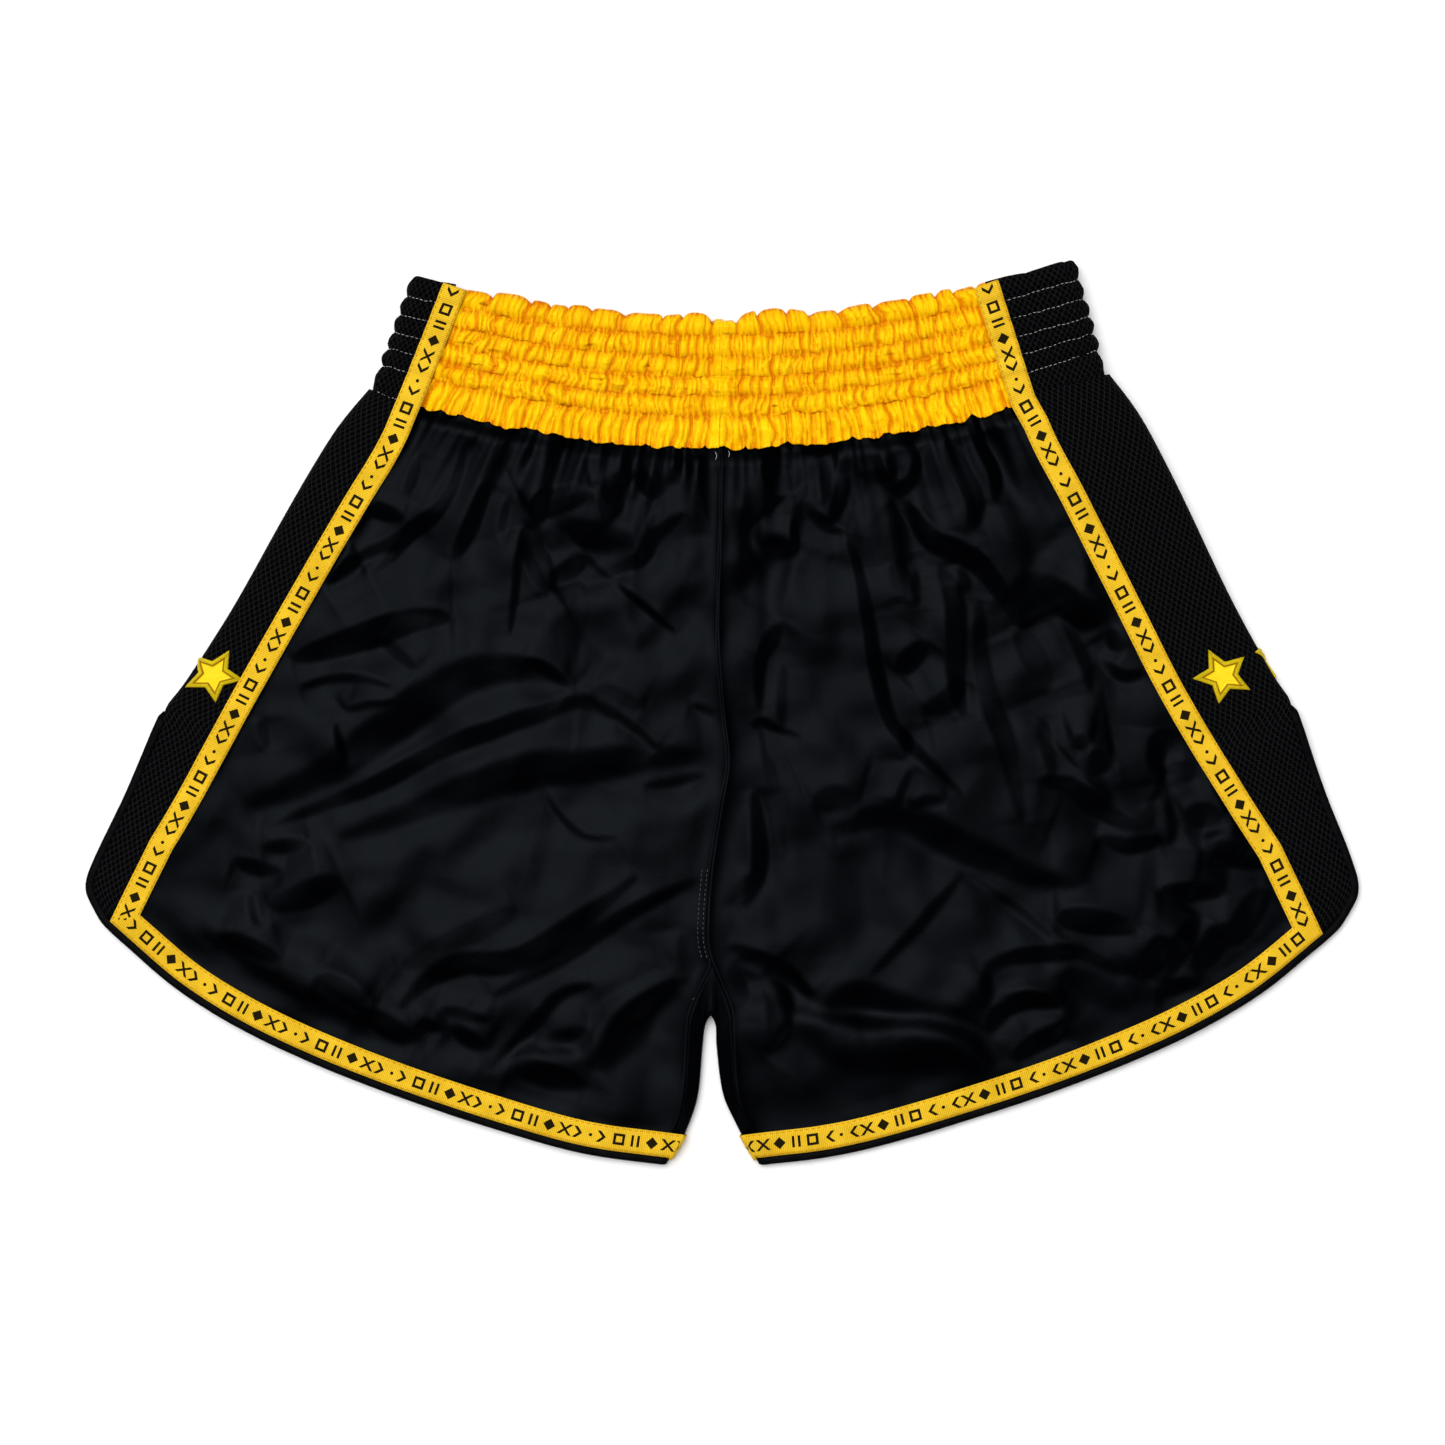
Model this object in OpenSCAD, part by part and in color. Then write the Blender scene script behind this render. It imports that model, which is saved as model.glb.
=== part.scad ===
// Boxing shorts in the short, flared fight cut, laid flat on a table.
// X runs across the garment, Y from the hems to the waistband, Z up from the table.
// The origin is the centre of the whole garment's footprint, on the table.
// "left" is -X and "right" is +X; the front face is the upper one.

/* [Body] */
// Widest distance across both legs, between the rounded hem corners
spread_w = 638; // [560:2:720]
// Distance from the lowest hem point to the highest waistband corner
overall_l = 454; // [400:2:510]
// Thickness of the satin panels
satin_t = 1.6; // [1.5:0.1:2.2]
// Thickness of the mesh side panels
mesh_t = 2.4; // [1.6:0.1:3]
// Height of the front face above the table at the hems
hem_h = 10; // [10:0.5:12]
// Height that the front panels puff up in the middle of each leg
crown_h = 2.5; // [0:0.5:4]

/* [Waistband] */
// Flat width of the waistband at its top edge, elastic relaxed
waist_w = 334; // [300:2:380]
// Height of the waistband at the centre
band_h = 66; // [54:1:78]
// How far the ends of the waistband's top edge stand above its centre
band_rise = 24; // [10:1:34]
// Thickness of the whole waistband, both layers and the mouth between them
band_t = 19; // [18:0.5:22]
// Depth of the groove at each row of stitches
roll_depth = 4.2; // [2:0.1:4.4]
// Thickness of one elastic strap
strap_t = 1.2; // [0.8:0.1:1.3]

/* [Trim] */
// Width of the woven trim tape
tape_w = 12.5; // [8:0.5:15]
// Thickness of the woven trim tape
tape_t = 0.8; // [0.5:0.1:1]
// Width of the binding around each leg opening
binding_w = 4; // [3:0.5:5]
// Thickness of the binding
binding_t = 2.2; // [1.6:0.1:2.6]
// Distance from the centre of a star patch to its points
star_r = 15; // [9:0.5:16]
// Thickness of a star patch
star_t = 0.8; // [0.5:0.1:1]

/* [Lay] */
// Sideways lean of the garment, in mm for each mm of length
lean = 0.034; // [0:0.002:0.06]
// How far the seams of the front face have slid left, and those of the back face right
twist = 11; // [0:0.5:13]
// How much higher the right end of the waist lies than the left
uneven = 8; // [0:1:10]

/* [Hidden] */

FRONT = 1;
BACK = -1;
LEFT = -1;
RIGHT = 1;
// Shares of the waistband's height at its rows of stitches; the lowest row is a frill.
row_at = [0, 0.165, 0.325, 0.475, 0.62, 0.77, 1];
rows = len(row_at) - 1;      // elastic straps in the waistband
wall = 0.8;                  // one layer of waistband cloth
gap = 0.15;                  // air between pieces that lie on each other
lift = max(tape_t, star_t) + 2 * gap;  // pieces with a trim under them start here
sx = spread_w / 638;         // the outlines below are drawn for a 638 x 454 garment
sy = overall_l / 454;
end_y = overall_l / 2 - uneven / 2;    // ends of the waistband's top edge
mouth_y = end_y - band_rise; // top edge of the waistband at the centre
band_r = (band_t - lift) / 2;          // the waistband turns round each side on this radius
band_mid = lift + band_r;
side_top = waist_w / 2;
side_low = side_top + 18 * sx;
lean_y = -88 * sy;           // the lean is nothing at this height

// Outlines of the right half, from the crotch outwards; the left half mirrors them.
tape_line = [[153, 156], [164, 132], [178.5, 107], [206, 57], [233, 7], [262, -43],
  [285, -80], [297, -103]];
fold_line = [[185, 166], [202, 144], [223, 107], [249, 57], [271, 20], [283, 3],
  [292, -18], [302, -43], [314, -70], [319, -86], [316, -97]];
hem_line = [[24, -226], [76, -218], [157, -193], [220, -168], [266, -143], [297, -118],
  [310, -106], [316, -97]];
inner_line = [[0, -150], [3, -156], [4, -168], [6.5, -190], [12, -205], [18, -217], [24, -226]];
gusset_line = [[0, -125], [9.5, -147], [11, -160], [13, -190], [19, -208], [30, -220]];
// The centre seam of the front wanders, as the cloth was smoothed by hand.
front_seam = [[-7.5, 125], [-7, 90], [-6.5, 40], [-3, 5], [0.8, -23], [-2, -47], [-6, -80],
  [-7, -110], [-4, -124]];
slit_at = 0.62;              // share of the fold line above the side slit
corner_at = 0.945;           // share of the hem line at the seam of satin and mesh

function mix(a, b, t) = a + (b - a) * t;
function clamp(x) = min(1, max(0, x));
function smooth(x) = let (c = clamp(x)) c * c * (3 - 2 * c);
function unit(v) = v / norm(v);
function reverse(list) = [for (i = [len(list) - 1:-1:0]) list[i]];
function last(list) = list[len(list) - 1];
// The crotch lies a little left of the middle.
function crotch_shift(y) = -3.5 * smooth((y + 220) / 50);
function side_of(points, s) = [for (p = points) [s * p.x * sx, p.y * sy]];
function crotch_side(points, s) = [for (p = side_of(points, s)) [p.x + crotch_shift(p.y), p.y]];

// Smooth curve through points, with n steps between each two of them.
function spline(p, n = 6) = [
  for (i = [0:len(p) - 2], k = [0:n - 1])
    let (a = p[max(i - 1, 0)], b = p[i], c = p[i + 1], d = p[min(i + 2, len(p) - 1)], t = k / n)
    0.5 * (2 * b + (c - a) * t + (2 * a - 5 * b + 4 * c - d) * t * t
      + (3 * b - a - 3 * c + d) * t * t * t),
  last(p)
];
function lengths(p) = [for (i = 0, s = 0; i < len(p);
  s = s + (i + 1 < len(p) ? norm(p[i + 1] - p[i]) : 0), i = i + 1) s];
// The point at share t of a curve's length.
function along(p, t) =
  let (sums = lengths(p), want = clamp(t) * last(sums),
    k = max(0, min(len(p) - 2, len([for (s = sums) if (s < want) 1]) - 1)))
  mix(p[k], p[k + 1], (want - sums[k]) / max(1e-6, sums[k + 1] - sums[k]));
function heading(p, t) = unit(along(p, min(1, t + 0.01)) - along(p, max(0, t - 0.01)));
// The unit vector in the plane, a quarter turn from v towards the garment's inside.
function quarter(v, s) = [-s * v.y, s * v.x];
// A point at share t of a curve, moved inwards.
function inset(curve, t, s, by) = along(curve, t) + by * quarter(heading(curve, t), s);
function hem_curve(s) = spline(side_of(hem_line, s), 4);
function fold_curve(s) = spline(side_of(fold_line, s));

// Moves a seam of one face sideways, less and less towards the hems.
function seam_shift(face, y) = -face * twist * mix(0.3, 1, smooth((y + 106) / 140));
// Leans the whole garment and tilts its ends; every point passes through it.
function laid(p) =
  let (tilt = uneven * mix(-1 / (3 * spread_w), 1 / waist_w, clamp((p.y + 105) / 320)))
  [p.x + lean * (p.y - lean_y), p.y + p.x * tilt, len(p) > 2 ? p.z : 0];
function laid_flat(points) = [for (p = points) let (q = laid(p)) [q.x, q.y]];

// Height of the outer surface of the front face.
function face_h(y) = mix(hem_h, band_t, pow(clamp((y + 110 * sy) / (265 * sy)), 1.5));

// Waistband: v runs from its top edge to its bottom edge, x across the garment.
function band_top(x) = mouth_y + band_rise * pow(x / side_top, 2);
function band_low(x) = mouth_y - band_h + (band_rise + 8) * pow(x / side_low, 2);
function band_y(x, v) = mix(band_top(x), band_low(x), v);
// A station on the waistband's loop: x at the top and bottom edges, turn angle, side.
function station(top, low, turn, s) = [top, low, turn, s];
function band_point(st, v, depth) =
  let (r = band_r - depth, x = mix(st[0], st[1], v) + st[3] * r * sin(st[2]))
  laid([x, band_y(x, v), band_mid + r * cos(st[2])]);
function seam_x(s, face, v) =
  s * mix(0.79 * side_top, tape_line[0].x * sx, v) + seam_shift(face, end_y);
function centre_x(face) = (face == FRONT ? -9 : 4) * sx;
function turn_stations(s) = [for (a = [0:22.5:180])
  station(s * (side_top - band_r), s * (side_low - band_r), a, s)];
function flat_stations(from, to, face, n) = [for (k = [0:n])
  station(mix(from[0], to[0], k / n), mix(from[1], to[1], k / n), face == FRONT ? 0 : 180, 0)];

// Cloth between two matching grids of points, with rims where cells end. Cells in
// column slit_col from row slit_row on are left out.
module cloth(outer, inner, flip = false, slit_col = -1, slit_row = 0) {
  n = len(outer);
  m = len(outer[0]);
  function o(i, j) = i * m + j;
  function q(i, j) = n * m + i * m + j;
  function has(i, j) = i >= 0 && i < n - 1 && j >= 0 && j < m - 1
    && !(j == slit_col && i >= slit_row);
  function quad(a, b, c, d) = flip ? [[c, b, a], [d, c, a]] : [[a, b, c], [a, c, d]];
  faces = [
    for (i = [0:n - 2], j = [0:m - 2]) if (has(i, j)) each concat(
      quad(o(i, j), o(i, j + 1), o(i + 1, j + 1), o(i + 1, j)),
      quad(q(i, j), q(i + 1, j), q(i + 1, j + 1), q(i, j + 1)),
      has(i - 1, j) ? [] : quad(o(i, j), q(i, j), q(i, j + 1), o(i, j + 1)),
      has(i + 1, j) ? [] : quad(o(i + 1, j), o(i + 1, j + 1), q(i + 1, j + 1), q(i + 1, j)),
      has(i, j - 1) ? [] : quad(o(i, j), o(i + 1, j), q(i + 1, j), q(i, j)),
      has(i, j + 1) ? [] : quad(o(i, j + 1), q(i, j + 1), q(i + 1, j + 1), o(i + 1, j + 1)))
  ];
  polyhedron(concat([for (r = outer) each r], [for (r = inner) each r]), faces, 4);
}

// Solid between matching four-point sections, capped at its ends or closed into a ring.
module sweep(sections, ring = false, flip = false) {
  n = len(sections);
  m = len(sections[0]);
  end = (n - 1) * m;
  caps = ring ? [] : [[0, 1, 2], [0, 2, 3], [end + 2, end + 1, end], [end + 3, end + 2, end]];
  sides = [for (i = [0:ring ? n - 1 : n - 2], j = [0:m - 1])
    let (a = i * m, b = (i + 1) % n * m, k = (j + 1) % m)
    each [[a + j, b + j, b + k], [a + j, b + k, a + k]]];
  all = concat(sides, caps);
  polyhedron([for (s = sections) each s], flip ? [for (f = all) reverse(f)] : all, 4);
}

// Sections of a flat strip along stations [centre, width direction].
function strip(stations, width, thick, ring = false) =
  let (n = len(stations))
  [for (i = [0:n - 1])
    let (c = stations[i][0], w = stations[i][1],
      before = stations[ring ? (i + n - 1) % n : max(0, i - 1)][0],
      after = stations[ring ? (i + 1) % n : min(n - 1, i + 1)][0],
      up = unit(cross(after - before, w)) * thick / 2, half = w * width / 2)
    [c - half - up, c + half - up, c + half + up, c - half + up]];

// ---- Satin panels ----

// The seam of satin and mesh, from the waistband to the hem.
function panel_out(s, face) =
  let (end = corner_at + s * seam_shift(face, -110) / 340)
  spline(concat([for (p = side_of(tape_line, s)) [p.x + seam_shift(face, p.y), p.y]],
    [inset(hem_curve(s), end, s, binding_w + gap)]), 4);
function panel_top(s, face) = [for (k = [0:8])
  let (x = mix(centre_x(face) + s * gap, seam_x(s, face, 1), k / 8)) [x, band_low(x) - gap]];
function panel_in(s, face) = concat([panel_top(s, face)[0]],
  [for (p = spline(front_seam, 2)) [(face == FRONT ? p.x : -0.4 * p.x) * sx + s * gap, p.y * sy]],
  [for (i = [1:len(gusset_line) - 1]) crotch_side(gusset_line, s)[i] + [s * gap, 0]]);
function panel_low(s, face) =
  let (end = corner_at + s * seam_shift(face, -110) / 340)
  concat([last(panel_in(s, face))], [for (k = [1:20])
    inset(hem_curve(s), mix(0.03, end, k / 20), s, binding_w + gap)]);

// The point at shares u and v of a patch between four edges.
function between(top, out, low, inn, u, v) =
  mix(along(top, u), along(low, u), v) + mix(along(inn, v), along(out, v), u)
  - mix(mix(top[0], last(top), u), mix(low[0], last(low), u), v);

module front_panel(s) {
  top = panel_top(s, FRONT);
  out = panel_out(s, FRONT);
  low = panel_low(s, FRONT);
  inn = panel_in(s, FRONT);
  function skin(depth) = [for (i = [0:14]) [for (j = [0:8])
    let (u = j / 8, v = i / 14, p = between(top, out, low, inn, u, v),
      puff = crown_h * sin(180 * u) * sin(180 * v))
    laid([p.x, p.y, face_h(p.y) + puff - depth])]];
  color("#11151c") cloth(skin(0), skin(satin_t), flip = s == LEFT);
}

module back_panel(s) {
  outline = concat(panel_top(s, BACK), panel_out(s, BACK), reverse(panel_low(s, BACK)),
    reverse(panel_in(s, BACK)));
  color("#11151c")
    difference() {
      linear_extrude(satin_t) polygon(laid_flat(outline));
      tape_groove(s);
    }
}

// Room under the garment for the tape's back run, which stays clear of the table.
module tape_groove(s) {
  translate([0, 0, -1]) linear_extrude(1 + tape_t + 2 * gap)
    polygon(laid_flat(tape_plan(s, tape_w / 2 + gap)));
}

// ---- Mesh side panels ----

function side_radius(y) = (face_h(y) - lift) / 2;

// The hem's edge between the seam (q = 0) and the fold (q = 1), as it bulges from the
// straight line between the two.
function hem_bulge(s, q) =
  let (from = inset(hem_curve(s), corner_at, s, binding_w), to = inset(hem_curve(s), 1, s, binding_w))
  inset(hem_curve(s), mix(corner_at, 1, q), s, binding_w) - mix(from, to, q);

// One row of the panel's C section: front seam, fold, back seam.
function side_row(s, v, depth) =
  let (
    open = v > slit_at ? 1 : 0,
    edge = inset(fold_curve(s), v, -s, open * (binding_w + gap)),
    front = along(panel_out(s, FRONT), v),
    back = along(panel_out(s, BACK), v),
    r = side_radius(edge.y),
    bulge = smooth((v - 0.8) / 0.2),
    turn = [0, 30, 60, 84, 96, 120, 150, 180]
  )
  concat(
    [for (t = [0, 0.33, 0.66])
      let (q = t * (1 - r / norm(edge - front)), p = mix(front, edge, q) + bulge * hem_bulge(s, q))
      [p.x, p.y, face_h(p.y) - depth]],
    [for (a = turn)
      let (flap = a < 90 ? 1 : -1,
        seam = a < 90 ? front : back,
        reach = open == 1 ? (1 - (a < 90 ? a : 180 - a) / 84) * r : r - (r - depth) * sin(a),
        z = open == 1 ? flap * (r - depth) : (r - depth) * cos(a),
        q = 1 - reach / norm(edge - seam),
        p = mix(seam, edge, q) + bulge * hem_bulge(s, q))
      [p.x, p.y, lift + r + z]],
    [for (t = [0.66, 0.33, 0])
      let (q = t * (1 - r / norm(edge - back)), p = mix(back, edge, q) + bulge * hem_bulge(s, q))
      [p.x, p.y, lift + depth]]);

module side_panel(s) {
  shares = [0, 0.06, 0.14, 0.23, 0.32, 0.41, 0.5, 0.56, slit_at, 0.65, 0.72, 0.8, 0.88, 0.94, 0.98];
  slit_row = 8;
  slit_col = 6;
  function skin(depth) = [for (v = shares) [for (p = side_row(s, v, depth))
    laid(p - [0, v == 0 ? gap : 0, 0])]];
  color("#0b0b0c") cloth(skin(0), skin(mesh_t), s == LEFT, slit_col, slit_row);
}

// ---- Gusset ----

module crotch_gusset() {
  above_hem = -218;
  inner = [for (p = inner_line) if (p.y > above_hem) p];
  outer = [for (p = gusset_line) if (p.y > above_hem) p];
  thick = [for (p = inner) p.x == 0 ? [0, p.y + satin_t] : [p.x + satin_t, p.y]];
  function both(points) = concat(reverse(crotch_side(points, LEFT)),
    [for (i = [1:len(points) - 1]) crotch_side(points, RIGHT)[i]]);
  function band(a, b) = laid_flat(concat(both(a), reverse(both(b))));
  color("#11151c")
    difference() {
      union() {
        linear_extrude(satin_t) polygon(band(inner, outer));
        translate([0, 0, hem_h - satin_t]) linear_extrude(satin_t) polygon(band(inner, outer));
        linear_extrude(hem_h) polygon(band(inner, thick));
      }
      tape_groove(LEFT);
      tape_groove(RIGHT);
    }
}

// ---- Waistband ----

// Depth of the outer cloth below the crest of its roll. The last row flares out at
// its lower edge, where it is stitched down over the panels.
function roll(k, f) =
  k == rows - 1 && f > 0.5 ? 0.4 : roll_depth * (1 - sqrt(max(0, 1 - pow(2 * f - 1, 2))));
// [share of the height, depth of the outer cloth] down the waistband.
steps = [for (k = [0:rows - 1], f = [0, 0.14, 0.5, 0.86]) [mix(row_at[k], row_at[k + 1], f), roll(k, f)]];
lining = roll_depth + wall + 0.3;      // depth of the inner cloth's outer side
hem_v = 0.02;                          // the cloth folds over at the top edge
outer_profile = concat([[1, 0.4]], reverse(steps),
  [[0, lining + wall], [1, lining + wall]]);
inner_profile = concat([[1, 0.4 + wall]], reverse([for (p = steps) [max(p[0], hem_v), p[1] + wall]]),
  [[hem_v, lining], [1, lining]]);

module band_piece(stations, flip) {
  cloth([for (st = stations) [for (p = outer_profile) band_point(st, p[0], p[1])]],
    [for (st = stations) [for (p = inner_profile) band_point(st, p[0], p[1])]], flip);
}

module waistband_half(s, face) {
  start = centre_x(face) + s * gap;
  end = s * gap;
  stations = flat_stations([start, start], [seam_x(s, face, 0) - end, seam_x(s, face, 1) - end],
    face, 6);
  color("#f6b70f") band_piece(stations, s * face == LEFT);
}

module waistband_side(s) {
  edge = [s * (side_top - band_r), s * (side_low - band_r)];
  front = flat_stations([seam_x(s, FRONT, 0), seam_x(s, FRONT, 1)], edge, FRONT, 1);
  back = flat_stations(edge, [seam_x(s, BACK, 0), seam_x(s, BACK, 1)], BACK, 1);
  color("#0b0b0c")
    band_piece(concat([front[0]], turn_stations(s), [back[1]]), s == LEFT);
}

// A closed loop of flat elastic in the channel of one row.
module elastic_strap(row) {
  margin = 0.2;
  low = mix(row_at[row - 1], row_at[row], 1 - margin);
  high = mix(row_at[row - 1], row_at[row], margin);
  depth = lining - gap - strap_t;
  section = [[low, depth], [high, depth], [high, depth + strap_t], [low, depth + strap_t]];
  half = [side_top - band_r, side_low - band_r];
  front = flat_stations(-half, half, FRONT, 8);
  back = flat_stations(half, -half, BACK, 8);
  stations = concat([for (i = [1:7]) front[i]], turn_stations(RIGHT),
    [for (i = [1:7]) back[i]], reverse(turn_stations(LEFT)));
  color("#e9e6df")
    sweep([for (st = stations) [for (p = section) band_point(st, p[0], p[1])]], true, true);
}

// ---- Trim tape ----

// A point beside the inside edge of the leg, by mm into the cloth.
function inside_edge(s, by) = inset(crotch_side(inner_line, s), 0.8, s, by);
// Centre line of the tape on one face: from the waistband's top edge down the side seam
// to the mitred corner, then along the hem to the inside of the leg.
function tape_hem(s) = concat(
  [for (k = [14:-1:0])
    inset(hem_curve(s), mix(0.04, 0.87, k / 14), s, binding_w + gap + tape_w / 2)],
  [inside_edge(s, 1.5)]);
function tape_path(s, face) = concat(
  [for (v = [0.03, 0.35, 0.7, 0.97]) let (x = seam_x(s, face, v)) [x, band_y(x, v)]],
  [for (v = [0.05:0.11:0.83]) along(panel_out(s, face), v)],
  [inset(hem_curve(s), corner_at + s * seam_shift(face, -110) / 340 - 0.018, s,
    binding_w + gap + tape_w / 2)],
  tape_hem(s));

// Vector across the tape at point i of its path, longer at the mitred corner.
function tape_across(path, i, s) =
  let (n = len(path), j = max(i, 1), k = min(i, n - 2),
    before = unit(path[j] - path[j - 1]), after = unit(path[k + 1] - path[k]),
    bisector = unit(before + after))
  quarter(bisector, -s) / max(0.6, before * bisector);
function tape_plan(s, half) =
  let (path = tape_path(s, BACK), n = len(path))
  concat([for (i = [0:n - 1]) path[i] + half * tape_across(path, i, s)],
    [for (i = [n - 1:-1:0]) path[i] - half * tape_across(path, i, s)]);

module trim_tape(s) {
  function over(p) =
    let (below = band_low(p.x) - p.y, rise = tape_t / 2 + gap + (below > 20 ? 0.3 : 0))
    rise + mix(band_t, face_h(p.y), smooth(below / 12));
  function stations(face) = let (path = tape_path(s, face))
    [for (i = [0:len(path) - 1])
      let (p = path[i], w = tape_across(path, i, s))
      [laid([p.x, p.y, face == FRONT ? over(p) : gap + tape_t / 2]), [w.x, w.y, 0]]];
  front = stations(FRONT);
  back = stations(BACK);
  outside = inside_edge(s, -gap - tape_t / 2);
  wrap = [for (z = [hem_h, gap + tape_t / 2]) [laid([outside.x, outside.y, z]), last(front)[1]]];
  color("#f2b51c")
    sweep(strip(concat(front, wrap, reverse(back)), tape_w, tape_t));
}

// ---- Binding ----

module hem_binding(s) {
  mid = binding_w / 2;
  edge = concat(
    [for (k = [0:16]) let (t = mix(0.02, 0.985, k / 16))
      [inset(hem_curve(s), t, s, mid), quarter(heading(hem_curve(s), t), s)]],
    [for (v = [0.985:-0.045:slit_at + 0.03])
      [inset(fold_curve(s), v, -s, mid), quarter(heading(fold_curve(s), v), -s)]]);
  top = along(fold_curve(s), slit_at);
  foot = [s * 20 * sx, -221 * sy];
  function rise(p, a) = laid([p.x, p.y, mix(binding_t, face_h(p.y) - binding_t, (1 + cos(a)) / 2)]);
  function stations(list, face) = [for (e = list)
    let (z = face == FRONT ? face_h(e[0].y) - binding_t / 2 : binding_t / 2)
    [laid([e[0].x, e[0].y, z]), [e[1].x, e[1].y, 0]]];
  loop = concat(
    stations(edge, FRONT),
    [for (a = [45, 135]) [rise(top, a), unit([-s, 1, 0])]],
    stations(reverse(edge), BACK),
    [for (a = [135, 45]) [rise(foot, a), [0, 1, 0]]]);
  color("#0b0b0c") sweep(strip(loop, binding_w, binding_t, true), true);
}

// ---- Star patches ----

star = [for (i = [0:9]) (i % 2 == 0 ? star_r : star_r * 0.5) * [sin(36 * i), cos(36 * i)]];
star_at = 0.545;             // share of the fold line, just above the slit

// A point on the side panel: up along the fold, and round it from the front face
// (positive) to the back face (negative).
function round_side(s, up, around, depth) =
  let (
    fold = fold_curve(s),
    h = heading(fold, star_at),
    base = along(fold, star_at) - up * h,
    inward = quarter(h, -s),
    r = side_radius(base.y),
    arc = r * PI / 2,
    bent = abs(around) < arc,
    a = around / r * 180 / PI,
    reach = bent ? r - (r - depth) * cos(a) : r + abs(around) - arc,
    p = base + reach * inward,
    z = bent ? lift + r + (r - depth) * sin(a)
      : around > 0 ? face_h(p.y) - depth : lift + depth
  )
  laid([p.x, p.y, z]);

module star_patch(s, around) {
  per_edge = 4;
  m = 10 * per_edge;
  rings = 5;
  function rim(k) =
    let (i = floor(k / per_edge)) mix(star[i], star[(i + 1) % 10], k % per_edge / per_edge);
  function skin(depth) = concat([round_side(s, 0, around, depth)],
    [for (f = [1:rings], k = [0:m - 1])
      let (p = rim(k) * f / rings) round_side(s, p.y, around + p.x, depth)]);
  count = 1 + rings * m;
  function at(f, k) = 1 + (f - 1) * m + k % m;
  function tri(a, b, c) = s == LEFT ? [c, b, a] : [a, b, c];
  faces = concat(
    [for (k = [0:m - 1]) each [tri(0, at(1, k + 1), at(1, k)),
      tri(count, count + at(1, k), count + at(1, k + 1))]],
    [for (f = [1:rings - 1], k = [0:m - 1]) let (a = at(f, k), b = at(f, k + 1),
      c = at(f + 1, k + 1), d = at(f + 1, k))
      each [tri(a, b, c), tri(a, c, d), tri(count + c, count + b, count + a),
        tri(count + d, count + c, count + a)]],
    [for (k = [0:m - 1]) let (a = at(rings, k), b = at(rings, k + 1))
      each [tri(a, b, count + b), tri(a, count + b, count + a)]]);
  color("#f7c415") polyhedron(concat(skin(-gap - star_t), skin(-gap)), faces, 4);
}

front_panel(LEFT);  // front_panel_left
front_panel(RIGHT);  // front_panel_right
back_panel(LEFT);  // back_panel_left
back_panel(RIGHT);  // back_panel_right
side_panel(LEFT);  // side_panel_left
side_panel(RIGHT);  // side_panel_right
crotch_gusset();
waistband_half(LEFT, FRONT);  // waistband_front_left
waistband_half(RIGHT, FRONT);  // waistband_front_right
waistband_half(LEFT, BACK);  // waistband_back_left
waistband_half(RIGHT, BACK);  // waistband_back_right
waistband_side(LEFT);  // waistband_side_left
waistband_side(RIGHT);  // waistband_side_right
elastic_strap(1);  // elastic_strap_1
elastic_strap(2);  // elastic_strap_2
elastic_strap(3);  // elastic_strap_3
elastic_strap(4);  // elastic_strap_4
elastic_strap(5);  // elastic_strap_5
elastic_strap(6);  // elastic_strap_6
trim_tape(LEFT);  // trim_tape_left
trim_tape(RIGHT);  // trim_tape_right
hem_binding(LEFT);  // hem_binding_left
hem_binding(RIGHT);  // hem_binding_right
star_patch(LEFT, 14);  // star_front_left
star_patch(RIGHT, 26);  // star_front_right
star_patch(LEFT, -20);  // star_back_left
star_patch(RIGHT, -8);  // star_fold_right
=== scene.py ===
"""Boxing shorts laid flat: the looks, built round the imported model. Metres throughout."""
import math

import bmesh
import bpy
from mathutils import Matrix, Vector
from mathutils.bvhtree import BVHTree
import numpy as np


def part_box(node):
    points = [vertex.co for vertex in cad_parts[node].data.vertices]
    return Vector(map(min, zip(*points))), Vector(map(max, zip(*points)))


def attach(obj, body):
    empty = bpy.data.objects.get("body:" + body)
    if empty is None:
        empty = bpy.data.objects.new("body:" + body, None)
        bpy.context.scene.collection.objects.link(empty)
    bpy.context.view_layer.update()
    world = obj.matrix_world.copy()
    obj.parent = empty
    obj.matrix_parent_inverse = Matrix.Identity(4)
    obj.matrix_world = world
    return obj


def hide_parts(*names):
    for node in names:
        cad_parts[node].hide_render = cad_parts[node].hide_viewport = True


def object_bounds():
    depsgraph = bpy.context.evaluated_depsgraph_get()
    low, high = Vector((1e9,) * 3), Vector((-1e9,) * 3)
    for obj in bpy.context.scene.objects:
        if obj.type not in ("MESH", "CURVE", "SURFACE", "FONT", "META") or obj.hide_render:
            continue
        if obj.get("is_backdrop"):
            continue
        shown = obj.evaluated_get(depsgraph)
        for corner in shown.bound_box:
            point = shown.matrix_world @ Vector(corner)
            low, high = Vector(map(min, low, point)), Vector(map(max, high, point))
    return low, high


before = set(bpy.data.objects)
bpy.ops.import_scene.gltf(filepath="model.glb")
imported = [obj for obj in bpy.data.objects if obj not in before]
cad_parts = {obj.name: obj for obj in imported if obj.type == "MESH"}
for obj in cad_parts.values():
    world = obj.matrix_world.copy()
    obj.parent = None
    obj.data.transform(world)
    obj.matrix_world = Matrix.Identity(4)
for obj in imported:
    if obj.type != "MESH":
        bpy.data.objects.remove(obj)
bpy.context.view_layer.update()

FRONT, BACK = 1, -1
LEFT, RIGHT = -1, 1
FACES = {"front": FRONT, "back": BACK}
SIDES = {"left": LEFT, "right": RIGHT}
MM = 0.001

# ---- Sizes, from the frame where it has them ----

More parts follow.
